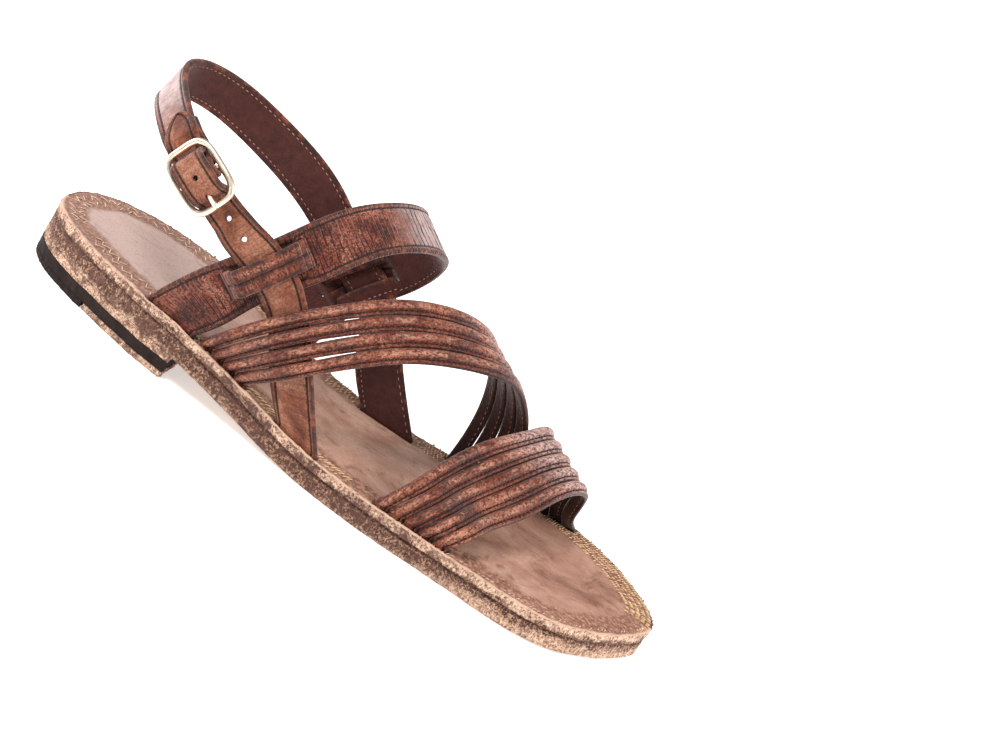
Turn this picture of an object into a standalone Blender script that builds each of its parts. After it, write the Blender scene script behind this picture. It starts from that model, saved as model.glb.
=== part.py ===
"""Huarache sandal for the right foot, empty and at rest on its sole.

A layered leather sole with a low stacked heel carries three woven straps and two groups of
cords. The ankle band is slit twice: the billet strap passes under its raised strips on the
outer side, the heel sling does so on the inner side, and both meet at a centre-bar buckle.

Metres, +Z up. +X runs from the heel to the toe, -Y is the outer side of the foot. The origin
is on the floor, under the middle of the front piece of the heel's top lift.
"""

from math import asin, cos, pi, sin

import bpy
import numpy as np

# Sole
LENGTH = 0.2764
BALL_WIDTH = 0.0955
INSOLE_THICK = 0.0042
OUTSOLE_THICK = 0.0071
HEEL_RISE = 0.0103
TOE_SPRING = 0.0015
GAP = 0.0003
HEEL_FRONT = 0.27
LIFT_SPLIT = 0.12
ARCH_START, ARCH_END = 0.22, 0.52
SPRING_START = 0.72
TOP_LIFT_THICK = 0.0022
RUBBER_THICK = 0.0044
WELT_GROOVE = 0.0008
WELT_HEIGHT = 0.0012
EDGE_ROUND = 0.0006
SOLE_STATIONS = 40
SHORT_STEP = 0.008

# Outline, from the back of the heel to the toe tip: along as a share of LENGTH, then the
# outer and the inner edge as shares of BALL_WIDTH
OUTLINE = (
    (0.00, -0.008, -0.008),
    (0.02, -0.171, 0.178),
    (0.05, -0.252, 0.273),
    (0.10, -0.328, 0.340),
    (0.15, -0.384, 0.356),
    (0.20, -0.434, 0.342),
    (0.30, -0.488, 0.279),
    (0.40, -0.509, 0.234),
    (0.50, -0.554, 0.243),
    (0.60, -0.585, 0.268),
    (0.70, -0.581, 0.359),
    (0.75, -0.575, 0.406),
    (0.80, -0.574, 0.416),
    (0.85, -0.562, 0.385),
    (0.90, -0.506, 0.320),
    (0.95, -0.369, 0.209),
    (0.98, -0.241, 0.110),
    (1.00, -0.047, -0.047),
)

# Straps and cords
STRAP_WALL = 0.0024
SLOT_CLEARANCE = 0.0004
SLOT_RISE = 0.0006
BUCKLE_CLEARANCE = 0.0015
BAND_WIDTH = 0.0210
BAND_RISE = 0.0774
BILLET_WIDTH = 0.0165
BILLET_END_WIDTH = 0.0138
BILLET_RISE = 0.0600
SLING_WIDTH = 0.0178
SLING_END_WIDTH = 0.0150
SLING_RISE = 0.0650
CORD_PITCH = 0.0064
CORD_THICK = 0.0035
CORD_FILL = 0.92
INSTEP_CORDS = 4
INSTEP_RISE = 0.0550
TOE_CORDS = 5
TOE_RISE = 0.0270
CORD_STATIONS = 27

# Where each strap goes through the insole: side of the foot (-1 outer, 1 inner), middle of
# the slot as a share of LENGTH, the slot's length and its distance from the edge
SLOT_INSET = 0.0034
SLOTS = {
    "band_outer": (-1, 0.2375, 1.143 * BAND_WIDTH, 1.00 * SLOT_INSET),
    "band_inner": (1, 0.3460, 1.186 * BAND_WIDTH, 0.94 * SLOT_INSET),
    "billet": (-1, 0.4690, 1.261 * BILLET_WIDTH, 0.97 * SLOT_INSET),
    "sling": (1, 0.5370, 1.348 * SLING_WIDTH, 2.59 * SLOT_INSET),
    "instep_outer": (-1, 0.3310, 0.922 * INSTEP_CORDS * CORD_PITCH, 1.24 * SLOT_INSET),
    "instep_inner": (1, 0.6660, 0.906 * INSTEP_CORDS * CORD_PITCH, 1.24 * SLOT_INSET),
    "toe_outer": (-1, 0.6620, 0.994 * TOE_CORDS * CORD_PITCH, 1.24 * SLOT_INSET),
    "toe_inner": (1, 0.7815, 0.944 * TOE_CORDS * CORD_PITCH, 1.71 * SLOT_INSET),
}

# Rows of each strap between its slots: along as a share of LENGTH, across as a share of
# BALL_WIDTH, height over the footbed as a share of the strap's rise, then the vector from
# the strap's rear or lower edge to the other one, as shares of its width
BAND_ROWS = (
    (0.271, -0.449, 0.205, 0.96, 0.01, -0.47),
    (0.304, -0.447, 0.413, 0.77, 0.12, -0.58),
    (0.349, -0.381, 0.664, 0.83, -0.06, -0.58),
    (0.392, -0.215, 0.886, 0.85, -0.26, -0.44),
    (0.444, -0.013, 1.000, 0.84, -0.34, -0.41),
    (0.460, 0.194, 0.891, 0.85, -0.22, -0.48),
    (0.432, 0.294, 0.631, 0.86, -0.08, -0.51),
    (0.380, 0.293, 0.339, 0.95, -0.08, -0.42),
)
BILLET_ROWS = ((0.410, -0.468, 0.323, 0.84, 0.03, 0.55),)
SLING_ROWS = ((0.478, 0.226, 0.276, 0.86, 0.21, 0.50),)
SLING_HEEL_ROWS = (
    (0.292, 0.290, 0.735, 0.41, 0.25, 0.88),
    (0.182, 0.262, 0.875, 0.24, 0.25, 0.95),
    (0.095, 0.148, 0.977, 0.17, 0.12, 0.98),
    (0.056, -0.087, 0.998, 0.23, -0.07, 0.97),
)
INSTEP_ROWS = (
    (0.385, -0.520, 0.388, 0.78, -0.15, -0.52),
    (0.451, -0.446, 0.749, 0.67, -0.29, -0.62),
    (0.528, -0.253, 0.987, 0.64, -0.55, -0.54),
    (0.608, -0.049, 1.020, 0.71, -0.62, -0.31),
    (0.647, 0.162, 0.789, 0.79, -0.50, -0.07),
    (0.674, 0.263, 0.364, 0.92, -0.24, 0.04),
)
TOE_ROWS = (
    (0.684, -0.520, 0.410, 0.98, -0.16, -0.07),
    (0.695, -0.384, 0.520, 0.96, -0.24, -0.16),
    (0.722, -0.181, 0.780, 0.97, -0.32, -0.29),
    (0.755, 0.062, 1.020, 0.88, -0.42, -0.21),
    (0.777, 0.280, 0.870, 0.90, -0.49, -0.26),
    (0.776, 0.324, 0.365, 0.92, -0.31, -0.20),
)

# A cord's section: across as a share of its width, out as a share of its thickness. A round
# body sits beside a flat lip.
CORD_SECTION = (
    (-0.50, -0.18),
    (-0.42, -0.45),
    (0.50, -0.45),
    (0.50, -0.08),
    (0.26, -0.05),
    (0.14, 0.36),
    (-0.12, 0.50),
    (-0.42, 0.28),
)

# Weave: the rows of the band (counted from its outer slot) where each strap crosses its rear
# and its front edge, the slits as shares of the band's width, and the raised strips
BILLET_CROSSING = (2.26, 2.40)
SLING_CROSSING = (7.64, 7.66)
SLITS = (-0.30, -0.05, 0.21)
SLIT_WIDTH = 0.0006
STRAP_LIFT = STRAP_WALL + SLOT_CLEARANCE
STRIP_HALF = 0.0165
STRIP_FLAT = 0.0100

# A strap lies on the band within this share of the band's width from its middle and leaves
# it over the next one, drawn to it from no more than so many walls away. Distance across the
# band counts this much when the nearest place on it is looked for.
LAID_WITHIN = 0.56
LAID_FADE = 0.50
LAID_REACH = 3
ACROSS_COUNTS = 0.2
SLING_NARROWED = 0.93

# Buckle: where it sits, the direction along the strap towards the toe, and its width
BUCKLE_ALONG = 0.1785
BUCKLE_ACROSS = -0.464
BUCKLE_HEIGHT = 0.0738
BUCKLE_LENGTH_DIRECTION = (0.914, -0.162, -0.372)
BUCKLE_WIDTH_DIRECTION = (0.396, 0.161, 0.904)
BUCKLE_LENGTH = 0.0238
BUCKLE_WIDTH = 0.0180
BUCKLE_CORNER = 0.0046
FRAME_WIRE = 0.0013
CENTRE_BAR = 0.0010
PRONG_WIRE = 0.0009
PRONG_REACH = 0.0134
PRONG_SLOT = 0.0034
HOLE_RADIUS = 0.0011
TIP_LENGTH = 0.0110
TIP_POINT = 0.06
TIP_FULLNESS = 0.8

# Holes of the billet below the front bar and past the prong, as shares of BUCKLE_LENGTH
HOLES_BELOW_BAR = (0.639, 0.248)
HOLES_PAST_PRONG = (0.349, 0.714)

# Rows before the front bar where the billet starts and ends its bend off the band, and rows
# of the sling between which it lies on the band
BILLET_BEND = (2.2, 0.8)
SLING_LAID = (1.8, 3.2)

ORIGIN_ALONG = (LIFT_SPLIT + HEEL_FRONT) / 2 * LENGTH

for old in list(bpy.data.objects):
    bpy.data.objects.remove(old)
sandal = bpy.data.collections.new("huarache_sandal")
cutters = bpy.data.collections.new("cutters")
for group in (sandal, cutters):
    bpy.context.scene.collection.children.link(group)


# Helpers


def material(name, colour, roughness, metallic=0.0):
    made = bpy.data.materials.new(name)
    made.use_nodes = True
    shader = made.node_tree.nodes["Principled BSDF"]
    shader.inputs["Base Color"].default_value = (*colour, 1.0)
    shader.inputs["Roughness"].default_value = roughness
    shader.inputs["Metallic"].default_value = metallic
    return made


def add_mesh(name, points, faces, colour, collection=sandal):
    """A mesh object whose origin is the part's. Closed meshes get outward normals."""
    mesh = bpy.data.meshes.new(name)
    placed = np.asarray(points) - np.array([ORIGIN_ALONG, 0.0, 0.0])
    mesh.from_pydata(placed.tolist(), [], faces)
    mesh.update()
    made = bpy.data.objects.new(name, mesh)
    if colour is not None:
        mesh.materials.append(colour)
    collection.objects.link(made)
    return made


def add_cutter(name, points, faces):
    made = add_mesh(name, points, faces, None, cutters)
    made.hide_render = True
    made.display_type = "WIRE"
    return made


def cut(target, tool, operation="DIFFERENCE"):
    modifier = target.modifiers.new(operation.lower() + "_" + tool.name, "BOOLEAN")
    modifier.operation = operation
    modifier.object = tool
    modifier.solver = "EXACT"


def unit(vectors):
    vectors = np.asarray(vectors, float)
    return vectors / np.linalg.norm(vectors, axis=-1, keepdims=True)


def smoothstep(share):
    share = np.clip(share, 0.0, 1.0)
    return share * share * (3 - 2 * share)


def curve_through(rows, where):
    """A natural cubic through the rows, spaced by the distance between their first three
    columns. `where` counts rows, so 2.4 lies between the third and the fourth."""
    rows = np.asarray(rows, float)
    count = len(rows)
    steps = np.linalg.norm(np.diff(rows[:, :3], axis=0), axis=1)
    knots = np.concatenate([[0.0], np.cumsum(steps)])
    system = np.eye(count)
    slopes = np.zeros_like(rows)
    for i in range(1, count - 1):
        system[i, i - 1 : i + 2] = steps[i - 1], 2 * (steps[i - 1] + steps[i]), steps[i]
        rise_after = (rows[i + 1] - rows[i]) / steps[i]
        rise_before = (rows[i] - rows[i - 1]) / steps[i - 1]
        slopes[i] = 6 * (rise_after - rise_before)
    bends = np.linalg.solve(system, slopes)
    at = np.interp(where, np.arange(count), knots)
    i = np.clip(np.searchsorted(knots, at, side="right") - 1, 0, count - 2)
    before = ((knots[i + 1] - at) / steps[i])[:, None]
    after = 1 - before
    curved = (before**3 - before) * bends[i] + (after**3 - after) * bends[i + 1]
    return before * rows[i] + after * rows[i + 1] + curved * steps[i][:, None] ** 2 / 6


def row_at_distance(rows, distances):
    """Turns distances along the rows' curve into the row counts that curve_through takes."""
    fine = np.linspace(0, len(rows) - 1, 600)
    centres = curve_through(rows, fine)[:, :3]
    lengths = np.linalg.norm(np.diff(centres, axis=0), axis=1)
    run = np.concatenate([[0.0], np.cumsum(lengths)])
    return np.interp(distances, run, fine)


def distance_at_row(rows, where):
    fine = np.linspace(0, where, 400)
    centres = curve_through(rows, fine)[:, :3]
    return np.linalg.norm(np.diff(centres, axis=0), axis=1).sum()


def run_of(*spans):
    """Stations through the breaks of (break, number of steps) pairs; the first has no steps."""
    stations = [spans[0][0]]
    for stop, steps in spans[1:]:
        stations.extend(np.linspace(stations[-1], stop, steps + 1)[1:])
    return np.array(stations)


# Sole


def trace_outline():
    """The outline as a dense closed curve, split into its outer and its inner side."""
    table = np.array(OUTLINE)
    along = table[:, 0] * LENGTH
    outer = np.stack([along, table[:, 1] * BALL_WIDTH, 0 * along], axis=1)
    inner = np.stack([along, table[:, 2] * BALL_WIDTH, 0 * along], axis=1)
    loop = np.concatenate([inner[3:0:-1], outer, inner[-2:0:-1], outer[:4]])
    first, last = 3, 3 + 2 * (len(table) - 1)
    dense = curve_through(loop, np.linspace(first, last, 3000))
    back = int(np.argmin(dense[:, 0]))
    turned = np.roll(dense[:-1], -back, axis=0)
    tip = int(np.argmax(turned[:, 0]))
    return turned[: tip + 1], np.concatenate([turned[tip:], turned[:1]])[::-1]


OUTER_SIDE, INNER_SIDE = trace_outline()


def edge(side, along):
    traced = OUTER_SIDE if side < 0 else INNER_SIDE
    return np.interp(along, traced[:, 0], traced[:, 1])


def footbed(along):
    """Height of the insole's top: level under the heel, a smooth drop, level, toe spring."""
    share = np.asarray(along) / LENGTH
    drop = smoothstep((share - ARCH_START) / (ARCH_END - ARCH_START))
    spring = np.clip((share - SPRING_START) / (1 - SPRING_START), 0.0, None) ** 2
    base = OUTSOLE_THICK + GAP + INSOLE_THICK
    return base + HEEL_RISE * (1 - drop) + TOE_SPRING * spring


def sole_layer(name, levels, colour, start=0.0, end=1.0):
    """A slab of the sole's outline. Each level is (height as a function of along, inset)."""
    turn = np.linspace(0, pi, SOLE_STATIONS + 1)
    whole = (1 - np.cos(turn)) / 2
    rounded_back, rounded_tip = start == 0.0, end == 1.0
    first = 0.0 if rounded_back else start + SHORT_STEP
    last = 1.0 if rounded_tip else end - SHORT_STEP
    kept = whole[(whole > first) & (whole < last)]
    along = np.concatenate([[start], kept, [end]]) * LENGTH
    along = np.clip(along, OUTER_SIDE[0, 0], OUTER_SIDE[-1, 0])
    outer = np.stack([along, edge(-1, along)], axis=1)
    inner = np.stack([along, edge(1, along)], axis=1)
    if rounded_back:
        inner[0] = outer[0]
    if rounded_tip:
        inner[-1] = outer[-1]
    count = len(along)
    ring = np.concatenate([outer, inner[::-1]])
    keep = list(range(2 * count))
    if rounded_back:
        keep.remove(2 * count - 1)
    if rounded_tip:
        keep.remove(count)
    ring = ring[keep]
    place = {old: new for new, old in enumerate(keep)}
    outer_index = list(range(count))
    inner_index = [place.get(2 * count - 1 - i, i) for i in range(count)]
    before, after = np.roll(ring, 1, axis=0), np.roll(ring, -1, axis=0)
    inward = unit(unit(after - ring) + unit(ring - before))
    inward = np.stack([-inward[:, 1], inward[:, 0]], axis=1)
    points, faces = [], []
    for height, inset in levels:
        level = ring + inward * inset
        points.append(np.column_stack([level, height(level[:, 0])]))
    size = len(ring)
    for level in range(len(levels) - 1):
        for i in range(size):
            j = (i + 1) % size
            top, low = level * size, (level + 1) * size
            faces.append((top + i, low + i, low + j, top + j))
    for shift, flip in ((0, False), ((len(levels) - 1) * size, True)):
        for i in range(count - 1):
            corners = [outer_index[i], outer_index[i + 1], inner_index[i + 1], inner_index[i]]
            corners = list(dict.fromkeys(corners))
            corners = [shift + corner for corner in corners]
            faces.append(tuple(corners[::-1] if flip else corners))
    return add_mesh(name, np.concatenate(points), faces, colour)


def under_footbed(depth):
    return lambda along: footbed(along) - depth


def level_at(height):
    return lambda along: 0 * along + height


cream_leather = material("cream_leather", (0.62, 0.50, 0.36), 0.75)
insole_leather = material("insole_leather", (0.42, 0.31, 0.27), 0.6)
strap_leather = material("strap_leather", (0.33, 0.17, 0.11), 0.5)
sling_leather = material("sling_leather", (0.32, 0.17, 0.11), 0.5)
billet_leather = material("billet_leather", (0.34, 0.18, 0.12), 0.5)
cord_leather = material("cord_leather", (0.36, 0.20, 0.14), 0.5)
heel_leather = material("heel_leather", (0.60, 0.48, 0.35), 0.75)
lift_leather = material("lift_leather", (0.66, 0.55, 0.40), 0.75)
black_rubber = material("black_rubber", (0.03, 0.03, 0.03), 0.8)
pale_brass = material("pale_brass", (0.80, 0.68, 0.42), 0.3, 1.0)

insole = sole_layer(
    "insole",
    [
        (under_footbed(0.0), EDGE_ROUND),
        (under_footbed(EDGE_ROUND), 0.0),
        (under_footbed(INSOLE_THICK), 0.0),
    ],
    insole_leather,
)
OUTSOLE_TOP = INSOLE_THICK + GAP
OUTSOLE_BOTTOM = OUTSOLE_TOP + OUTSOLE_THICK
sole_layer(
    "outsole",
    [
        (under_footbed(OUTSOLE_TOP), WELT_GROOVE),
        (under_footbed(OUTSOLE_TOP + WELT_HEIGHT), WELT_GROOVE),
        (under_footbed(OUTSOLE_TOP + WELT_HEIGHT), 0.0),
        (under_footbed(OUTSOLE_BOTTOM - EDGE_ROUND), 0.0),
        (under_footbed(OUTSOLE_BOTTOM), EDGE_ROUND),
    ],
    cream_leather,
)
RUBBER_BOTTOM = TOP_LIFT_THICK + GAP
RUBBER_TOP = RUBBER_BOTTOM + RUBBER_THICK
sole_layer(
    "heel_lift",
    [(under_footbed(OUTSOLE_BOTTOM + GAP), 0.0), (level_at(RUBBER_TOP + GAP), 0.0)],
    heel_leather,
    end=HEEL_FRONT,
)
sole_layer(
    "heel_rubber",
    [(level_at(RUBBER_TOP), 0.0), (level_at(RUBBER_BOTTOM), 0.0)],
    black_rubber,
    end=HEEL_FRONT,
)
split_gap = GAP / 2 / LENGTH
for name, start, end, colour in (
    ("top_lift_rear", 0.0, LIFT_SPLIT - split_gap, black_rubber),
    ("top_lift_front", LIFT_SPLIT + split_gap, HEEL_FRONT, lift_leather),
):
    sole_layer(
        name,
        [(level_at(TOP_LIFT_THICK), 0.0), (level_at(0.0), 0.0)],
        colour,
        start,
        end,
    )


# Slots in the insole


def slot_row(name):
    """The strap's row where it leaves the insole's top: its middle and its across vector."""
    side, along, length, inset = SLOTS[name]
    middle = along * LENGTH
    ends = np.array([middle - length / 2, middle + length / 2])
    run = unit([length, edge(side, ends[1]) - edge(side, ends[0])])
    inward = -side * np.array([-run[1], run[0]])
    centre = np.array([middle, edge(side, middle)]) + inward * inset
    across = run * length
    fall = footbed(centre[0] + across[0] / 2) - footbed(centre[0] - across[0] / 2)
    return np.array([*centre, footbed(centre[0]) + SLOT_RISE, *across, fall])


def lowered(row):
    """The same row at the strap's end, just over the outsole."""
    under = row.copy()
    under[2] -= INSOLE_THICK + GAP
    return under


def box_from(centre, along, across, up):
    """A closed box from its centre and its three half sides."""
    corners = [
        centre + i * along + j * across + k * up
        for i, j, k in (
            (-1, -1, -1),
            (1, -1, -1),
            (1, 1, -1),
            (-1, 1, -1),
            (-1, -1, 1),
            (1, -1, 1),
            (1, 1, 1),
            (-1, 1, 1),
        )
    ]
    faces = [(0, 3, 2, 1), (4, 5, 6, 7), (0, 1, 5, 4), (1, 2, 6, 5), (2, 3, 7, 6), (3, 0, 4, 7)]
    return np.array(corners), faces


def cut_slot(name, thickness):
    row = slot_row(name)
    run = unit([row[3], row[4], 0.0])
    half = np.linalg.norm(row[3:5]) / 2 + SLOT_CLEARANCE
    side = np.array([-run[1], run[0], 0.0]) * (thickness / 2 + SLOT_CLEARANCE)
    up = np.array([0.0, 0.0, 2.5 * INSOLE_THICK])
    tool = add_cutter("slot_" + name, *box_from(row[:3], run * half, side, up))
    cut(insole, tool)


for name in SLOTS:
    is_cords = name.startswith(("instep", "toe"))
    cut_slot(name, CORD_THICK if is_cords else STRAP_WALL)


# Straps


def rows_of(table, rise, width):
    """A strap's table in metres."""
    table = np.array(table)
    along = table[:, 0] * LENGTH
    height = footbed(along) + table[:, 2] * rise
    across = table[:, 1] * BALL_WIDTH
    return np.column_stack([along, across, height, table[:, 3:] * width])


def frames(path):
    """Unit directions of a path of rows: along it, across it, and out of its surface."""
    onward = unit(np.gradient(path[:, :3], axis=0))
    across = path[:, 3:]
    out = unit(np.cross(across, onward))
    return onward, across, out


def strap_sheet(name, path, shares, colour, raises=None, missing=None, laid=None):
    """An open sheet across a path of rows, thickened evenly. `shares` are its columns from
    -0.5 to 0.5 of its width, `raises` lifts points outward, `missing` drops cells."""
    _, across, out = frames(path)
    points = path[:, None, :3] + across[:, None, :] * np.asarray(shares)[None, :, None]
    if raises is not None:
        points = points + out[:, None, :] * raises[:, :, None]
    if laid is not None:
        points = laid(points)
    stations, columns = points.shape[:2]
    faces = []
    for i in range(stations - 1):
        for j in range(columns - 1):
            if missing is not None and missing[i, j]:
                continue
            first = i * columns + j
            faces.append((first, first + columns, first + columns + 1, first + 1))
    made = add_mesh(name, points.reshape(-1, 3), faces, colour)
    thick = made.modifiers.new("wall", "SOLIDIFY")
    thick.thickness = STRAP_WALL
    thick.offset = 0.0
    thick.use_even_offset = True
    return made


# Ankle band, with three slits at each weave and two strips raised over the strap

BAND = np.vstack(
    [slot_row("band_outer"), rows_of(BAND_ROWS, BAND_RISE, BAND_WIDTH), slot_row("band_inner")]
)
WEAVES = [distance_at_row(BAND, sum(crossing) / 2) for crossing in (BILLET_CROSSING, SLING_CROSSING)]


def strip_share(distance):
    """How far the raised strips stand out at a distance along the band, from 0 to 1."""
    share = 0 * distance
    for middle in WEAVES:
        away = np.abs(distance - middle)
        share = share + 1 - smoothstep((away - STRIP_FLAT) / (STRIP_HALF - STRIP_FLAT))
    return share


def make_band():
    whole = distance_at_row(BAND, len(BAND) - 1)
    outer, inner = WEAVES
    distance = run_of(
        (0.0, 0),
        (outer - STRIP_HALF, 4),
        (outer - STRIP_FLAT, 4),
        (outer + STRIP_FLAT, 4),
        (outer + STRIP_HALF, 4),
        (inner - STRIP_HALF, 12),
        (inner - STRIP_FLAT, 4),
        (inner + STRIP_FLAT, 4),
        (inner + STRIP_HALF, 4),
        (whole, 3),
    )
    path = curve_through(BAND, row_at_distance(BAND, distance))
    path = np.vstack([lowered(path[0]), path, lowered(path[-1])])
    raised = np.concatenate([[0.0], strip_share(distance), [0.0]])
    raised[raised < 0.001] = 0.0
    half_slit = SLIT_WIDTH / 2 / BAND_WIDTH
    shares, strip_column = [-0.5], [0.0]
    for number, slit in enumerate(SLITS):
        shares += [slit - half_slit, slit + half_slit]
        strip_column += [float(number > 0), float(number < len(SLITS) - 1)]
    shares.append(0.5)
    strip_column.append(0.0)
    raises = 2 * STRAP_LIFT * raised[:, None] * np.array(strip_column)[None, :]
    is_slit = np.arange(len(shares) - 1) % 2 == 1
    opened = (raised[:-1] > 0) | (raised[1:] > 0)
    missing = opened[:, None] & is_slit[None, :]
    return strap_sheet("instep_band", path, shares, strap_leather, raises, missing)


make_band()


def on_band(where, share):
    """A point of a strap laid on the band, and the band's outward direction there."""
    near = curve_through(BAND, np.array([where - 0.02, where, where + 0.02]))
    _, across, out = frames(near)
    return near[1, :3] + across[1] * share + out[1] * STRAP_LIFT, out[1]


def crossing_rows(crossing, width):
    """Two rows of a strap where it crosses the band's front edge and then its rear edge."""
    rear, front = crossing
    front_point, front_out = on_band(front, 0.5)
    rear_point, rear_out = on_band(rear, -0.5)
    run = unit(rear_point - front_point)
    rows = []
    for point, out in ((front_point, front_out), (rear_point, rear_out)):
        across = unit(np.cross(out, run))
        across = across * np.sign(across[2])
        rows.append([*point, *(across * width)])
    return rows


def laid_on_band(points):
    """Points near the band moved to the strap's height over it, fading out beside it."""
    fine = curve_through(BAND, np.linspace(0, len(BAND) - 1, 400))
    _, across, out = frames(fine)
    flat = points.reshape(-1, 3)
    widths = np.linalg.norm(across, axis=1)
    to_line = flat[:, None, :] - fine[None, :, :3]
    share = np.einsum("pki,ki->pk", to_line, across) / widths**2
    off_line = to_line - share[:, :, None] * across[None]
    away = np.linalg.norm(off_line, axis=2) + ACROSS_COUNTS * np.abs(share) * widths
    nearest = np.argmin(away, axis=1)
    pick = np.arange(len(flat))
    beside = np.abs(share[pick, nearest])
    height = np.einsum("pi,pi->p", to_line[pick, nearest], out[nearest])
    weight = 1 - smoothstep((beside - LAID_WITHIN) / LAID_FADE)
    weight = weight * (np.abs(height - STRAP_LIFT) < LAID_REACH * STRAP_WALL)
    moved = flat + out[nearest] * ((STRAP_LIFT - height) * weight)[:, None]
    return moved.reshape(points.shape)


# Buckle frame of reference: u along the strap towards the heel, w up its width, n outward

BUCKLE_AT = np.array([BUCKLE_ALONG * LENGTH, BUCKLE_ACROSS * BALL_WIDTH, BUCKLE_HEIGHT])
BUCKLE_W = unit(BUCKLE_WIDTH_DIRECTION)
toward_toe = np.array(BUCKLE_LENGTH_DIRECTION)
BUCKLE_U = -unit(toward_toe - BUCKLE_W * (toward_toe @ BUCKLE_W))
BUCKLE_N = np.cross(BUCKLE_W, BUCKLE_U)


def at_buckle(u, w, n):
    return BUCKLE_AT + u * BUCKLE_U + w * BUCKLE_W + n * BUCKLE_N


def turn_about(centre_u, radius, start, end, steps):
    """Points (u, n) round a bar of the buckle; angles are from +u towards +n."""
    angles = np.linspace(start, end, steps)
    return [(centre_u + radius * cos(angle), radius * sin(angle)) for angle in angles]


def past_tangent(radius, angle, run):
    """The point (u, n) a run beyond where a turn about the centre bar ends."""
    u = radius * cos(angle) - run * sin(angle)
    return (u, radius * sin(angle) + run * cos(angle))


HALF_LENGTH = BUCKLE_LENGTH / 2
WRAP_RADIUS = CENTRE_BAR + GAP + STRAP_WALL / 2
OVER_WRAP = WRAP_RADIUS + STRAP_WALL + GAP
UNDER_BAR = FRAME_WIRE + BUCKLE_CLEARANCE + STRAP_WALL / 2
SLING_UNDER_BAR = UNDER_BAR + STRAP_WALL + BUCKLE_CLEARANCE
FLAP_UNDER_BAR = SLING_UNDER_BAR + STRAP_WALL + GAP
STEEP = pi / 2 - asin((OVER_WRAP + UNDER_BAR) / HALF_LENGTH)
FLAP_SLOPE = asin((FLAP_UNDER_BAR - WRAP_RADIUS) / HALF_LENGTH)

# The sling's way to the buckle from the heel, and the flap it folds back, as (u, n) in
# shares of the buckle's half length. The flap lies this many walls under the sling.
SLING_APPROACH = ((1.975, -1.084), (1.387, -0.714))
FLAP_END = ((1.387, -0.714), (1.866, -1.017))
FLAP_UNDER = 1.15


def buckle_rows(points, width):
    """Rows of a strap in the buckle from (u, n) points."""
    return [[*at_buckle(u, 0.0, n), *(BUCKLE_W * width)] for u, n in points]


# The billet over the centre bar: u as a share of the buckle's half length, n as a share of
# its height over the bar. Then its free end, as u, w and n in shares of that half length.
BILLET_ARCH = ((-0.54, 0.76), (-0.28, 0.97), (0.00, 1.00), (0.28, 0.99), (0.54, 0.82))
BILLET_FREE_END = ((1.387, 0.084, -0.319), (1.765, 0.185, -0.538), (2.143, 0.286, -0.790))


def make_billet():
    base = slot_row("billet")
    crossing = crossing_rows(BILLET_CROSSING, BILLET_WIDTH)
    before = turn_about(-HALF_LENGTH, UNDER_BAR, 1.5 * pi, 2 * pi, 3)
    over = [(share * HALF_LENGTH, rise * OVER_WRAP) for share, rise in BILLET_ARCH]
    after = turn_about(HALF_LENGTH, UNDER_BAR, pi, 1.5 * pi, 3)
    inside = buckle_rows(before + over + after, BILLET_END_WIDTH)
    free = [
        [*at_buckle(*(HALF_LENGTH * np.array(place))), *(BUCKLE_W * BILLET_END_WIDTH)]
        for place in BILLET_FREE_END
    ]
    strap = rows_of(BILLET_ROWS, BILLET_RISE, BILLET_WIDTH)
    rows = np.vstack([base, strap, crossing, inside, free])
    front_bar = len(BILLET_ROWS) + 3
    rear_bar = front_bar + len(inside) - 1
    whole = distance_at_row(rows, len(rows) - 1)
    distance = run_of(
        (0.0, 0),
        (distance_at_row(rows, front_bar - BILLET_BEND[0]), 5),
        (distance_at_row(rows, front_bar - BILLET_BEND[1]), 8),
        (distance_at_row(rows, front_bar), 3),
        (distance_at_row(rows, rear_bar), 22),
        (whole - TIP_LENGTH, 1),
        (whole, 6),
    )
    path = curve_through(rows, row_at_distance(rows, distance))
    left = np.clip((whole - distance) / TIP_LENGTH, 0.0, 1.0)
    rounded = (1 - (1 - left) ** 2) ** TIP_FULLNESS
    path[:, 3:] *= (TIP_POINT + (1 - TIP_POINT) * rounded)[:, None]
    path = np.vstack([lowered(path[0]), path])
    shares = (-0.5, -0.25, 0.0, 0.25, 0.5)
    made = strap_sheet("billet_strap", path, shares, billet_leather, laid=laid_on_band)
    return made, rows, front_bar


billet, BILLET, FRONT_BAR_ROW = make_billet()


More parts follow.
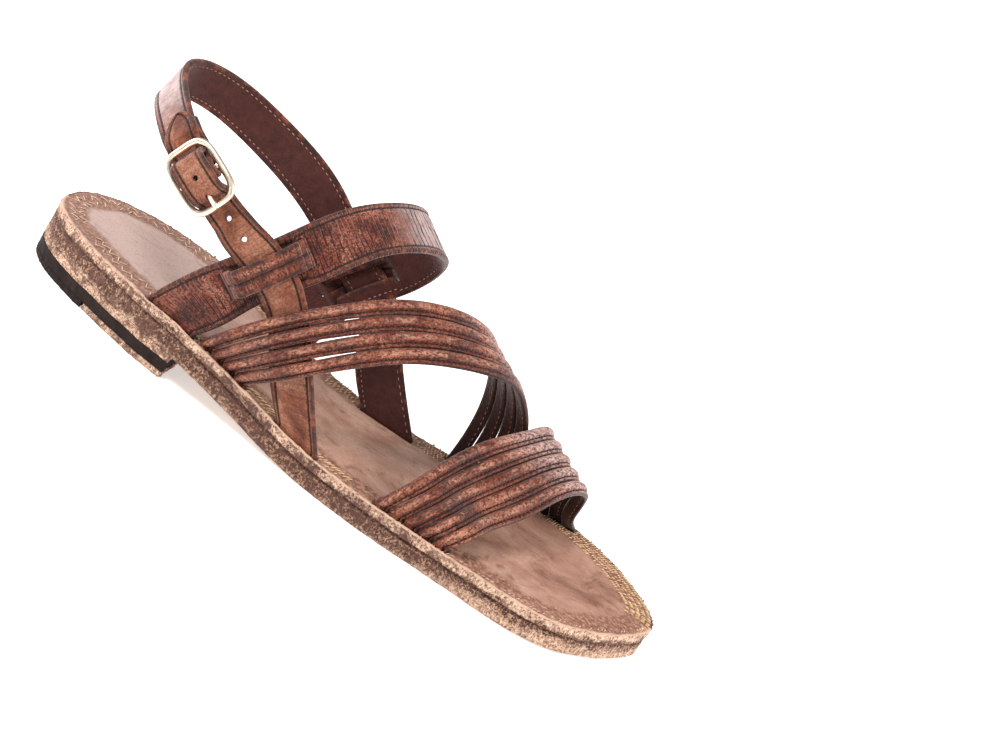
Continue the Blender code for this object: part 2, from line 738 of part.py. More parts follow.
def make_sling():
    base = slot_row("sling")
    crossing = crossing_rows(SLING_CROSSING, SLING_WIDTH * SLING_NARROWED)
    near = rows_of(SLING_ROWS, SLING_RISE, SLING_WIDTH)
    heel = rows_of(SLING_HEEL_ROWS, SLING_RISE, SLING_WIDTH)
    coming = turn_about(HALF_LENGTH, SLING_UNDER_BAR, 1.5 * pi, pi + STEEP, 2)
    from_heel = [(u * HALF_LENGTH, n * HALF_LENGTH) for u, n in SLING_APPROACH]
    approach = buckle_rows(from_heel + coming, SLING_END_WIDTH)
    main = np.vstack([base, near, crossing, heel, approach])
    distance = run_of(
        (0.0, 0),
        (distance_at_row(main, SLING_LAID[0]), 4),
        (distance_at_row(main, SLING_LAID[1]), 8),
        (distance_at_row(main, len(main) - 1), 26),
    )
    main_path = curve_through(main, row_at_distance(main, distance))
    wrap_end = 1.5 * pi - FLAP_SLOPE
    wrap = turn_about(0.0, WRAP_RADIUS, STEEP, wrap_end, 8)
    wrap.insert(0, past_tangent(WRAP_RADIUS, STEEP, -PRONG_SLOT))
    wrap.append(past_tangent(WRAP_RADIUS, wrap_end, PRONG_SLOT))
    going = turn_about(HALF_LENGTH, FLAP_UNDER_BAR, wrap_end, 1.5 * pi, 2)
    under = FLAP_UNDER * (STRAP_WALL + GAP)
    flap = [(u * HALF_LENGTH, n * HALF_LENGTH - under) for u, n in FLAP_END]
    ending = buckle_rows(wrap + going + flap, SLING_END_WIDTH)
    path = np.vstack([lowered(main_path[0]), main_path, ending])
    half_slot = (PRONG_WIRE + SLOT_CLEARANCE) / SLING_END_WIDTH
    shares = (-0.5, -0.28, -half_slot, half_slot, 0.28, 0.5)
    missing = np.zeros((len(path) - 1, len(shares) - 1), bool)
    first = 1 + len(main_path)
    missing[first : first + len(wrap) - 1, 2] = True
    return strap_sheet("heel_sling", path, shares, sling_leather, missing=missing, laid=laid_on_band)


make_sling()


# Buckle: a rounded ring of wire with a bar across its middle, and a prong round that bar


def wire(name, points, radius, closed, colour):
    """A round wire through points. It stays a curve unless a Boolean needs its mesh."""
    curve = bpy.data.curves.new(name, "CURVE")
    curve.dimensions = "3D"
    curve.bevel_depth = radius
    curve.bevel_resolution = 2
    curve.use_fill_caps = not closed
    spline = curve.splines.new("POLY")
    spline.points.add(len(points) - 1)
    for slot, point in zip(spline.points, points):
        slot.co = (*(np.asarray(point) - np.array([ORIGIN_ALONG, 0.0, 0.0])), 1.0)
    spline.use_cyclic_u = closed
    made = bpy.data.objects.new(name, curve)
    curve.materials.append(colour)
    sandal.objects.link(made)
    return made


def as_mesh(drawn, name, collection):
    """The curve's mesh as an object of its own; the curve is removed."""
    graph = bpy.context.evaluated_depsgraph_get()
    mesh = bpy.data.meshes.new_from_object(drawn.evaluated_get(graph))
    mesh.name = name
    bpy.data.objects.remove(drawn)
    made = bpy.data.objects.new(name, mesh)
    collection.objects.link(made)
    weld = made.modifiers.new("weld", "WELD")
    weld.merge_threshold = 0.00001
    return made


def ring_points():
    """The frame's rounded rectangle, with a quarter turn at each corner."""
    points = []
    reach_u, reach_w = HALF_LENGTH - BUCKLE_CORNER, BUCKLE_WIDTH / 2 - BUCKLE_CORNER
    for quarter, (sign_u, sign_w) in enumerate(((1, 1), (-1, 1), (-1, -1), (1, -1))):
        for step in range(4):
            angle = (quarter + step / 3) * pi / 2
            u = sign_u * reach_u + BUCKLE_CORNER * cos(angle)
            w = sign_w * reach_w + BUCKLE_CORNER * sin(angle)
            points.append(at_buckle(u, w, 0.0))
    return points


ring = wire("ring", ring_points(), FRAME_WIRE, True, pale_brass)
buckle = as_mesh(ring, "buckle_frame", sandal)
bar_ends = [at_buckle(0.0, side * BUCKLE_WIDTH / 2, 0.0) for side in (-1, 1)]
bar_wire = as_mesh(wire("bar", bar_ends, CENTRE_BAR, False, pale_brass), "centre_bar", cutters)
bar_wire.hide_render = True
bar_wire.display_type = "WIRE"
cut(buckle, bar_wire, "UNION")

PRONG_RADIUS = CENTRE_BAR + GAP / 2 + PRONG_WIRE
PRONG_REST = FRAME_WIRE + GAP + PRONG_WIRE
prong_loop = turn_about(0.0, PRONG_RADIUS, -0.75 * pi, 0.5 * pi, 9)
prong_line = [*prong_loop, (-HALF_LENGTH, PRONG_REST), (-PRONG_REACH, PRONG_REST)]
prong_points = [at_buckle(u, 0.0, n) for u, n in prong_line]
wire("buckle_prong", prong_points, PRONG_WIRE, False, pale_brass)


def round_cutter(name, start, end, radius, around=12):
    """A closed cylinder between two points."""
    run = unit(end - start)
    side = unit(np.cross(run, BUCKLE_W if abs(run @ BUCKLE_W) < 0.9 else BUCKLE_U))
    other = np.cross(run, side)
    turns = [2 * pi * step / around for step in range(around)]
    ring_at = [side * cos(turn) * radius + other * sin(turn) * radius for turn in turns]
    points = np.array([start + p for p in ring_at] + [end + p for p in ring_at])
    faces = [
        (i, (i + 1) % around, around + (i + 1) % around, around + i) for i in range(around)
    ]
    faces.append(tuple(range(around))[::-1])
    faces.append(tuple(range(around, 2 * around)))
    return add_cutter(name, points, faces)


def punch_billet():
    """The prong's hole, cut along the prong, and two more on either side of it."""
    clear = PRONG_WIRE + SLOT_CLEARANCE
    inner = at_buckle(-HALF_LENGTH * 0.25, 0.0, PRONG_RADIUS)
    outer = at_buckle(-HALF_LENGTH, 0.0, PRONG_REST)
    cut(billet, round_cutter("prong_hole", inner, outer, clear))
    bar = distance_at_row(BILLET, FRONT_BAR_ROW)
    rising = np.linspace(FRONT_BAR_ROW + 2, FRONT_BAR_ROW + 5, 60)
    height = (curve_through(BILLET, rising)[:, :3] - BUCKLE_AT) @ BUCKLE_N
    prong = distance_at_row(BILLET, np.interp(PRONG_RADIUS, height, rising))
    holes = [bar - below * BUCKLE_LENGTH for below in HOLES_BELOW_BAR]
    holes += [prong + past * BUCKLE_LENGTH for past in HOLES_PAST_PRONG]
    for number, distance in enumerate(holes):
        where = row_at_distance(BILLET, distance)
        near = curve_through(BILLET, where + np.array([-0.02, 0.0, 0.02]))
        _, _, out = frames(near)
        depth = out[1] * STRAP_WALL
        start, end = near[1, :3] - depth, near[1, :3] + depth
        cut(billet, round_cutter(f"hole_{number}", start, end, HOLE_RADIUS, 8))


punch_billet()


# Cords


def make_cords(prefix, count, slots, table, rise):
    """Cords side by side across one path of rows, each swept with the cord's section."""
    width = CORD_PITCH * count
    ends = [slot_row(name) for name in slots]
    rows = np.vstack([ends[0], rows_of(table, rise, width), ends[1]])
    distance = np.linspace(0.0, distance_at_row(rows, len(rows) - 1), CORD_STATIONS)
    path = curve_through(rows, row_at_distance(rows, distance))
    path = np.vstack([lowered(path[0]), path, lowered(path[-1])])
    onward, across, out = frames(path)
    onward[:2] = onward[0]
    square = across - onward * np.einsum("ij,ij->i", across, onward)[:, None]
    pitch = np.linalg.norm(square, axis=1) / count
    section = np.array(CORD_SECTION)
    for number in range(count):
        centre = path[:, :3] + across * ((number + 0.5) / count - 0.5)
        sideways = unit(square) * (np.minimum(pitch, CORD_PITCH) * CORD_FILL)[:, None]
        outward = out * CORD_THICK
        points = (
            centre[:, None, :]
            + sideways[:, None, :] * section[None, :, :1]
            + outward[:, None, :] * section[None, :, 1:]
        )
        stations, size = points.shape[:2]
        faces = []
        for i in range(stations - 1):
            for j in range(size):
                k = (j + 1) % size
                here, there = i * size, (i + 1) * size
                faces.append((here + j, there + j, there + k, here + k))
        faces.append(tuple(range(size)))
        faces.append(tuple(range((stations - 1) * size, stations * size))[::-1])
        add_mesh(f"{prefix}_cord_{number + 1}", points.reshape(-1, 3), faces, cord_leather)


make_cords("instep", INSTEP_CORDS, ("instep_outer", "instep_inner"), INSTEP_ROWS, INSTEP_RISE)
make_cords("toe", TOE_CORDS, ("toe_outer", "toe_inner"), TOE_ROWS, TOE_RISE)
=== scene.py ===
"""Leather, thread, cut edges and brass for a huarache sandal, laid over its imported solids.

Each strap is a strip with two faces, worked out over rows along its path and columns across
it. The sole's layers are rings inside the outline. Cords and wires are a section carried
along a path. Lengths are in metres; inside the script `along` starts at the back of the heel,
and put_in moves every piece so that it lies on the frame.
"""

from math import asin, cos, pi, radians, sin

import bpy
import numpy as np
from mathutils import Matrix


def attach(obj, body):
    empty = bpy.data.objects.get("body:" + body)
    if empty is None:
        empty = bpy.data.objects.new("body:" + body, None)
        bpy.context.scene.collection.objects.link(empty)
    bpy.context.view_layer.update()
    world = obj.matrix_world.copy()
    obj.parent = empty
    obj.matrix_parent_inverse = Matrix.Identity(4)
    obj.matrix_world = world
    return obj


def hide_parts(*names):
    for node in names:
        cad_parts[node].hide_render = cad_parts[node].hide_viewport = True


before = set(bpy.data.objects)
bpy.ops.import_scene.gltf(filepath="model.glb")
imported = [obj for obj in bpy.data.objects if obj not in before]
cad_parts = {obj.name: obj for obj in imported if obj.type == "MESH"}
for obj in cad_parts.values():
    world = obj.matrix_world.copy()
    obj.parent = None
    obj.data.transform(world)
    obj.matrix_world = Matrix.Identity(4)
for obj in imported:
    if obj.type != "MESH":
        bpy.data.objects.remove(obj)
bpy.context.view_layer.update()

# Sole
LENGTH = 0.2764
BALL_WIDTH = 0.0955
INSOLE_THICK = 0.0042
OUTSOLE_THICK = 0.0071
HEEL_RISE = 0.0103
TOE_SPRING = 0.0015
GAP = 0.0003
HEEL_FRONT = 0.27
LIFT_SPLIT = 0.12
ARCH_START, ARCH_END = 0.22, 0.52
SPRING_START = 0.72
TOP_LIFT_THICK = 0.0022
RUBBER_THICK = 0.0044
SEAM_SET_BACK = 0.0004
SHUT_GAP = 0.00006
WELT_HEIGHT = 0.0012
ORIGIN = np.array([(LIFT_SPLIT + HEEL_FRONT) / 2 * LENGTH, 0.0, 0.0])

# Outline from the back of the heel to the tip: along as a share of LENGTH, then the outer
# and the inner edge as shares of BALL_WIDTH
OUTLINE = (
    (0.00, -0.008, -0.008),
    (0.02, -0.171, 0.178),
    (0.05, -0.252, 0.273),
    (0.10, -0.328, 0.340),
    (0.15, -0.384, 0.356),
    (0.20, -0.434, 0.342),
    (0.30, -0.488, 0.279),
    (0.40, -0.509, 0.234),
    (0.50, -0.554, 0.243),
    (0.60, -0.585, 0.268),
    (0.70, -0.581, 0.359),
    (0.75, -0.575, 0.406),
    (0.80, -0.574, 0.416),
    (0.85, -0.562, 0.385),
    (0.90, -0.506, 0.320),
    (0.95, -0.369, 0.209),
    (0.98, -0.241, 0.110),
    (1.00, -0.047, -0.047),
)

# Straps and cords
STRAP_WALL = 0.0024
SLOT_CLEARANCE = 0.0004
SLOT_RISE = 0.0006
BUCKLE_CLEARANCE = 0.0015
BAND_WIDTH = 0.0210
BAND_RISE = 0.0774
BILLET_WIDTH = 0.0165
BILLET_END_WIDTH = 0.0138
BILLET_RISE = 0.0600
SLING_WIDTH = 0.0178
SLING_END_WIDTH = 0.0150
SLING_RISE = 0.0650
SLING_NARROWED = 0.93
CORD_PITCH = 0.0064
CORD_THICK = 0.0035
INSTEP_CORDS = 4
INSTEP_RISE = 0.0550
TOE_CORDS = 5
TOE_RISE = 0.0270

# Where each strap goes through the insole: side of the foot (-1 outer, 1 inner), middle of
# the slot as a share of LENGTH, the slot's length and its distance from the edge
SLOT_INSET = 0.0034
SLOTS = {
    "band_outer": (-1, 0.2375, 1.143 * BAND_WIDTH, 1.00 * SLOT_INSET),
    "band_inner": (1, 0.3460, 1.186 * BAND_WIDTH, 0.94 * SLOT_INSET),
    "billet": (-1, 0.4690, 1.261 * BILLET_WIDTH, 0.97 * SLOT_INSET),
    "sling": (1, 0.5370, 1.348 * SLING_WIDTH, 2.59 * SLOT_INSET),
    "instep_outer": (-1, 0.3310, 0.922 * INSTEP_CORDS * CORD_PITCH, 1.24 * SLOT_INSET),
    "instep_inner": (1, 0.6660, 0.906 * INSTEP_CORDS * CORD_PITCH, 1.24 * SLOT_INSET),
    "toe_outer": (-1, 0.6620, 0.994 * TOE_CORDS * CORD_PITCH, 1.24 * SLOT_INSET),
    "toe_inner": (1, 0.7815, 0.944 * TOE_CORDS * CORD_PITCH, 1.71 * SLOT_INSET),
}

# Rows of each strap between its slots: along as a share of LENGTH, across as a share of
# BALL_WIDTH, height over the footbed as a share of the strap's rise, then the vector from
# the strap's rear or lower edge to the other one, as shares of its width
BAND_ROWS = (
    (0.271, -0.449, 0.205, 0.96, 0.01, -0.47),
    (0.304, -0.447, 0.413, 0.77, 0.12, -0.58),
    (0.349, -0.381, 0.664, 0.83, -0.06, -0.58),
    (0.392, -0.215, 0.886, 0.85, -0.26, -0.44),
    (0.444, -0.013, 1.000, 0.84, -0.34, -0.41),
    (0.460, 0.194, 0.891, 0.85, -0.22, -0.48),
    (0.432, 0.294, 0.631, 0.86, -0.08, -0.51),
    (0.380, 0.293, 0.339, 0.95, -0.08, -0.42),
)
BILLET_ROWS = ((0.410, -0.468, 0.323, 0.84, 0.03, 0.55),)
SLING_ROWS = ((0.478, 0.226, 0.276, 0.86, 0.21, 0.50),)
SLING_HEEL_ROWS = (
    (0.292, 0.290, 0.735, 0.41, 0.25, 0.88),
    (0.182, 0.262, 0.875, 0.24, 0.25, 0.95),
    (0.095, 0.148, 0.977, 0.17, 0.12, 0.98),
    (0.056, -0.087, 0.998, 0.23, -0.07, 0.97),
)
INSTEP_ROWS = (
    (0.385, -0.520, 0.388, 0.78, -0.15, -0.52),
    (0.451, -0.446, 0.749, 0.67, -0.29, -0.62),
    (0.528, -0.253, 0.987, 0.64, -0.55, -0.54),
    (0.608, -0.049, 1.020, 0.71, -0.62, -0.31),
    (0.647, 0.162, 0.789, 0.79, -0.50, -0.07),
    (0.674, 0.263, 0.364, 0.92, -0.24, 0.04),
)
TOE_ROWS = (
    (0.684, -0.520, 0.410, 0.98, -0.16, -0.07),
    (0.695, -0.384, 0.520, 0.96, -0.24, -0.16),
    (0.722, -0.181, 0.780, 0.97, -0.32, -0.29),
    (0.755, 0.062, 1.020, 0.88, -0.42, -0.21),
    (0.777, 0.280, 0.870, 0.90, -0.49, -0.26),
    (0.776, 0.324, 0.365, 0.92, -0.31, -0.20),
)

# A cord's section round its skin: across as a share of its width, out as a share of its
# thickness. The round body ends in the sewn groove, and a narrow lip lies past it.
CORD_SECTION = (
    (-0.49, -0.12),
    (-0.46, 0.12),
    (-0.36, 0.33),
    (-0.20, 0.46),
    (-0.04, 0.47),
    (0.09, 0.37),
    (0.17, 0.20),
    (0.215, 0.06),
    (0.235, 0.01),
    (0.262, 0.08),
    (0.31, 0.19),
    (0.38, 0.20),
    (0.440, 0.10),
    (0.478, -0.16),
    (0.46, -0.38),
    (0.36, -0.44),
    (0.10, -0.45),
    (-0.20, -0.45),
    (-0.40, -0.42),
    (-0.475, -0.30),
)
CORD_GROOVE = 0.235
CORD_FULL = 0.985
CORD_SLACK = 0.10
INSTEP_LOOSE = 0.040
TOE_LOOSE = 1.0

# Weave: rows of the band where each strap crosses its rear and its front edge, the slits as
# shares of the band's width, and the raised strips
BILLET_CROSSING = (2.26, 2.40)
SLING_CROSSING = (7.64, 7.66)
SLITS = (-0.30, -0.05, 0.21)
SLIT_WIDTH = 0.0006
STRAP_LIFT = STRAP_WALL + SLOT_CLEARANCE
STRIP_HALF = 0.0165
STRIP_FLAT = 0.0100
REACH_UNDER = 0.0022
BOX_SEAM_PAST = 0.0004
SLIT_CLOSES = 0.0022

# How a strap is laid to the band where it crosses it: within which share of the band's width
# it lies on it, over which share it fades out, from how many walls off the band it is let go
# and where it is free, and how much a place across the band counts when the nearest is sought
LAID_WITHIN = 0.56
LAID_FADE = 0.50
LAID_REACH = (1.5, 3.0)
ACROSS_COUNTS = 0.2

# Buckle
BUCKLE_ALONG = 0.1785
BUCKLE_ACROSS = -0.464
BUCKLE_HEIGHT = 0.0738
BUCKLE_LENGTH_DIRECTION = (0.914, -0.162, -0.372)
BUCKLE_WIDTH_DIRECTION = (0.396, 0.161, 0.904)
BUCKLE_LENGTH = 0.0238
BUCKLE_WIDTH = 0.0180
RING_SQUARE = 0.5
RING_SPREAD = 0.0002
RING_WIRE = 1.05
FRAME_WIRE = 0.0013
CENTRE_BAR = 0.0010
PRONG_WIRE = 0.0009
PRONG_REACH = 0.0134
PRONG_SLOT = 0.0034
HOLE_RADIUS = 0.0011
HOLES_BELOW_BAR = (0.639, 0.248)
HOLES_PAST_PRONG = (0.349, 0.714)
PRONG_HOLE_HALF = 0.0021
TIP_LENGTH = 0.0110
TIP_POINT = 0.06
TIP_FULLNESS = 0.55
SLING_APPROACH = ((1.975, -1.084), (1.387, -0.714))
FLAP_END = ((1.387, -0.714), (1.866, -1.017))
FLAP_UNDER = 1.15
BILLET_ARCH = ((-0.54, 0.76), (-0.28, 0.97), (0.00, 1.00), (0.28, 0.99), (0.54, 0.82))
BILLET_FREE_END = ((1.387, 0.084, -0.319), (1.765, 0.185, -0.538), (2.143, 0.286, -0.790))

# Sewing: the groove's distance from a strap's edge, its depth and half width, and the stitches
GROOVE_IN = 0.0023
GROOVE_DEPTH = 0.00060
GROOVE_HALF = 0.00042
STITCH_PITCH = 0.0021
STITCH_LENGTH = 0.0014
LINING_PITCH = 0.0024
LINING_STITCH = 0.0012
CORD_STITCH = 0.0012
SEWN_FROM = 0.002
STITCH_BOW = 0.0001
THREAD = 0.00036
EDGE_ROUND = 0.0009

# Sewn rows of the insole's margin: inset, pitch, slant, half length, width, share that is left
# and whether each second stitch slants the other way
TOE_ROWS_SEWN = tuple(
    (0.0021 + 0.0024 * row, 0.0013, 0.0002, 0.00095, 0.00044, 0.97 - 0.09 * row, False)
    for row in range(5)
)
INNER_WAIST_SEWN = tuple(
    (inset, 0.0016, 0.0004, 0.0011, 0.00050, 0.7, False) for inset in (0.0035, 0.0062, 0.0088)
)
OUTER_WAIST_SEWN = (
    (0.0062, 0.0018, 0.0011, 0.0014, 0.00055, 0.97, False),
    (0.0030, 0.0021, 0.0006, 0.0008, 0.00040, 0.50, False),
)
HEEL_SEWN = tuple(
    (inset, 0.0027, 0.0013, 0.0015, 0.00042, 0.65, True) for inset in (0.0045, 0.0082)
)
OUTER_TOES_SEWN = ((0.0025, 0.0019, 0.0007, 0.0006, 0.00034, 0.45, False),)

# Unevenness of the surfaces: height of its waves, their size and their seed
INSOLE_WAVES = ((0.00018, 0.034, 3), (0.00010, 0.009, 5))
MARGIN_WAVES = ((0.00014, 0.0035, 7),)
INSOLE_RAGGED = ((0.00022, 0.0019, 21), (0.00028, 0.0085, 22))
SOLE_RAGGED = ((0.00016, 0.0021, 11), (0.00022, 0.011, 12))
STRAP_WAVES = ((0.00009, 0.0085, 13),)

# Rows and columns of the straps' grids
BAND_STEP = 0.00030
BILLET_STEP = 0.00028
SLING_STEP = 0.00029
STRAP_ROWS = 400

# Creases over the band: run from the outer slot, distance from the middle line,
# length across, lean, depth, half width
BAND_CREASES = (
    (0.0120, 0.0010, 0.0120, 0.10, 0.00022, 0.0009),
    (0.0175, -0.0025, 0.0090, -0.15, 0.00025, 0.0007),
    (0.0555, -0.0010, 0.0150, 0.05, 0.00022, 0.0006),
    (0.0600, 0.0020, 0.0110, -0.05, 0.00026, 0.0005),
    (0.0662, -0.0015, 0.0140, 0.08, 0.00030, 0.0006),
    (0.0718, 0.0010, 0.0150, -0.04, 0.00024, 0.0005),
    (0.0790, -0.0005, 0.0150, 0.05, 0.00032, 0.0006),
    (0.0838, 0.0030, 0.0090, 0.10, 0.00024, 0.0005),
    (0.0885, -0.0020, 0.0120, -0.06, 0.00030, 0.0006),
    (0.0940, 0.0000, 0.0150, 0.03, 0.00034, 0.0006),
    (0.0992, 0.0020, 0.0120, 0.08, 0.00026, 0.0005),
    (0.1045, -0.0015, 0.0140, -0.04, 0.00034, 0.0006),
    (0.1105, 0.0005, 0.0150, 0.04, 0.00030, 0.0006),
    (0.1160, 0.0010, 0.0130, 0.00, 0.00034, 0.0006),
    (0.1218, -0.0010, 0.0150, -0.06, 0.00030, 0.0006),
    (0.1285, 0.0015, 0.0120, 0.05, 0.00026, 0.0006),
    (0.1370, -0.0010, 0.0140, 0.02, 0.00028, 0.0007),
    (0.1460, 0.0005, 0.0130, -0.05, 0.00024, 0.0007),
)
BILLET_CREASES = (
    (0.0110, 0.0005, 0.0090, 0.10, 0.00022, 0.0008),
    (0.0165, -0.0010, 0.0070, -0.30, 0.00022, 0.0006),
    (0.0535, 0.0010, 0.0100, 0.35, 0.00034, 0.0007),
    (0.0585, -0.0005, 0.0110, -0.20, 0.00030, 0.0006),
    (0.0625, 0.0008, 0.0090, 0.50, 0.00034, 0.0005),
    (0.0660, -0.0015, 0.0070, -0.45, 0.00026, 0.0005),
    (0.0700, 0.0010, 0.0080, 0.25, 0.00026, 0.0006),
    (0.0765, 0.0000, 0.0090, -0.10, 0.00022, 0.0006),
)
SLING_CREASES = (
    (0.0120, 0.0005, 0.0120, 0.15, 0.00020, 0.0010),
    (0.0720, 0.0000, 0.0110, 0.05, 0.00022, 0.0007),
    (0.1210, 0.0010, 0.0110, -0.05, 0.00026, 0.0006),
    (0.1270, -0.0010, 0.0120, 0.08, 0.00030, 0.0006),
    (0.1335, 0.0000, 0.0120, -0.06, 0.00026, 0.0006),
    (0.1395, 0.0010, 0.0110, 0.05, 0.00030, 0.0006),
    (0.1450, -0.0005, 0.0120, -0.03, 0.00032, 0.0006),
    (0.1510, 0.0000, 0.0120, 0.06, 0.00030, 0.0006),
    (0.1580, 0.0010, 0.0110, -0.04, 0.00030, 0.0006),
    (0.1650, -0.0010, 0.0120, 0.04, 0.00026, 0.0006),
    (0.1730, 0.0000, 0.0110, 0.00, 0.00026, 0.0006),
)


# Curves and rows


def unit(vectors):
    vectors = np.asarray(vectors, float)
    return vectors / np.linalg.norm(vectors, axis=-1, keepdims=True)


def smoothstep(share):
    share = np.clip(share, 0.0, 1.0)
    return share * share * (3 - 2 * share)


def bell(offset, half_width):
    """A soft hump: e to the minus square of the offset over its half width."""
    return np.exp(-((offset / half_width) ** 2))


def curve_through(rows, where):
    """A natural cubic through the rows, spaced by the distance between their first three
    columns. `where` counts rows, so 2.4 lies between the third and the fourth."""
    rows = np.asarray(rows, float)
    count = len(rows)
    steps = np.linalg.norm(np.diff(rows[:, :3], axis=0), axis=1)
    knots = np.concatenate([[0.0], np.cumsum(steps)])
    system = np.eye(count)
    slopes = np.zeros_like(rows)
    for i in range(1, count - 1):
        system[i, i - 1 : i + 2] = steps[i - 1], 2 * (steps[i - 1] + steps[i]), steps[i]
        rise_after = (rows[i + 1] - rows[i]) / steps[i]
        rise_before = (rows[i] - rows[i - 1]) / steps[i - 1]
        slopes[i] = 6 * (rise_after - rise_before)
    bends = np.linalg.solve(system, slopes)
    at = np.interp(where, np.arange(count), knots)
    i = np.clip(np.searchsorted(knots, at, side="right") - 1, 0, count - 2)
    before = ((knots[i + 1] - at) / steps[i])[:, None]
    after = 1 - before
    curved = (before**3 - before) * bends[i] + (after**3 - after) * bends[i + 1]
    return before * rows[i] + after * rows[i + 1] + curved * steps[i][:, None] ** 2 / 6


def run_along(rows, steps=4000):
    """Row counts in even steps, and the distance run to each along the rows' curve."""
    where = np.linspace(0, len(rows) - 1, steps)
    centres = curve_through(rows, where)[:, :3]
    run = np.concatenate([[0.0], np.cumsum(np.linalg.norm(np.diff(centres, axis=0), axis=1))])
    return where, run


def distance_at_row(rows, row):
    where, run = run_along(rows)
    return float(np.interp(row, where, run))


def row_at_distance(rows, distances):
    where, run = run_along(rows)
    return np.interp(distances, run, where)


def even_run(points, step):
    """Points set `step` apart on straight lines between the given ones."""
    points = np.asarray(points, float)
    gaps = np.linalg.norm(np.diff(points[:, :3], axis=0), axis=1)
    run = np.concatenate([[0.0], np.cumsum(gaps)])
    at = np.linspace(0.0, run[-1], int(run[-1] / step) + 2)
    return np.stack([np.interp(at, run, column) for column in points.T], axis=1)


def trace_outline():
    """The outline as a dense closed curve, split into its outer and its inner side."""
    table = np.array(OUTLINE)
    along = table[:, 0] * LENGTH
    outer = np.stack([along, table[:, 1] * BALL_WIDTH, 0 * along], axis=1)
    inner = np.stack([along, table[:, 2] * BALL_WIDTH, 0 * along], axis=1)
    loop = np.concatenate([inner[3:0:-1], outer, inner[-2:0:-1], outer[:4]])
    first, last = 3, 3 + 2 * (len(table) - 1)
    dense = curve_through(loop, np.linspace(first, last, 3000))
    turned = np.roll(dense[:-1], -int(np.argmin(dense[:, 0])), axis=0)
    tip = int(np.argmax(turned[:, 0]))
    return turned[: tip + 1], np.concatenate([turned[tip:], turned[:1]])[::-1]


OUTER_SIDE, INNER_SIDE = trace_outline()


def edge(side, along):
    traced = OUTER_SIDE if side < 0 else INNER_SIDE
    return np.interp(along, traced[:, 0], traced[:, 1])


def footbed(along):
    """Height of the insole's top: level under the heel, a smooth drop, level, toe spring."""
    share = np.asarray(along) / LENGTH
    drop = smoothstep((share - ARCH_START) / (ARCH_END - ARCH_START))
    spring = np.clip((share - SPRING_START) / (1 - SPRING_START), 0.0, None) ** 2
    base = OUTSOLE_THICK + GAP + INSOLE_THICK
    return base + HEEL_RISE * (1 - drop) + TOE_SPRING * spring


def slot_row(name):
    """The strap's row where it leaves the insole's top: its middle and its across vector."""
    side, along, length, inset = SLOTS[name]
    middle = along * LENGTH
    ends = np.array([middle - length / 2, middle + length / 2])
    run = unit([length, edge(side, ends[1]) - edge(side, ends[0])])
    inward = -side * np.array([-run[1], run[0]])
    centre = np.array([middle, edge(side, middle)]) + inward * inset
    across = run * length
    fall = footbed(centre[0] + across[0] / 2) - footbed(centre[0] - across[0] / 2)
    return np.array([*centre, footbed(centre[0]) + SLOT_RISE, *across, fall])


def rows_of(table, rise, width):
    """A strap's table in metres."""
    table = np.array(table)
    along = table[:, 0] * LENGTH
    height = footbed(along) + table[:, 2] * rise
    across = table[:, 1] * BALL_WIDTH
    return np.column_stack([along, across, height, table[:, 3:] * width])


def sunk(row, steps=4):
    """Rows from just over the outsole up to the slot row, which isn't among them."""
    rows = np.repeat(row[None], steps, axis=0)
    rows[:, 2] -= np.linspace(1.0, 0.0, steps + 1)[:-1] * (INSOLE_THICK + GAP)
    return rows


def frames(path):
    """Unit directions of a path of rows: along it, across it, and out of its surface."""
    onward = unit(np.gradient(path[:, :3], axis=0))
    across = path[:, 3:]
    return onward, across, unit(np.cross(across, onward))


def run_of(path):
    return np.concatenate([[0.0], np.cumsum(np.linalg.norm(np.diff(path[:, :3], axis=0), axis=1))])


def unevenness(points, size, seed):
    """Smooth unevenness of about -1 to 1: the sum of fourteen sine waves in fixed drawn
    directions, each about `size` long."""
    draw = np.random.default_rng(seed)
    ways = unit(draw.normal(size=(14, points.shape[-1])))
    lengths = size * draw.uniform(0.6, 1.7, 14)
    starts = draw.uniform(0, 2 * pi, 14)
    sines = np.sin(2 * pi * points @ (ways / lengths[:, None]).T + starts)
    return sines.sum(axis=-1) / 5.3


def waves(points, table):
    return sum(height * unevenness(points, size, seed) for height, size, seed in table)


def creases(run, span, table):
    """Depth of listed creases: a bell across each one's line, faded out at its ends."""
    depth = 0.0 * run
    for at, middle, length, lean, deepest, half_width in table:
        off = run - at - lean * (span - middle)
        off = off + 0.0003 * np.sin((span - middle) * 900 + at * 5000)
        fade = 1 - smoothstep((np.abs(span - middle) / (length / 2) - 0.55) / 0.45)
        depth = depth + deepest * bell(off, half_width) * fade
    return depth


# Putting meshes in


def facing_out(points, faces):
    """The faces, all turned over if the volume that they enclose comes out negative."""
    a, b, c, d = (points[faces[:, k]] for k in range(4))
    enclosed = (a * (np.cross(b, c) + np.cross(c, d))).sum()
    return faces[:, ::-1] if enclosed < 0 else faces


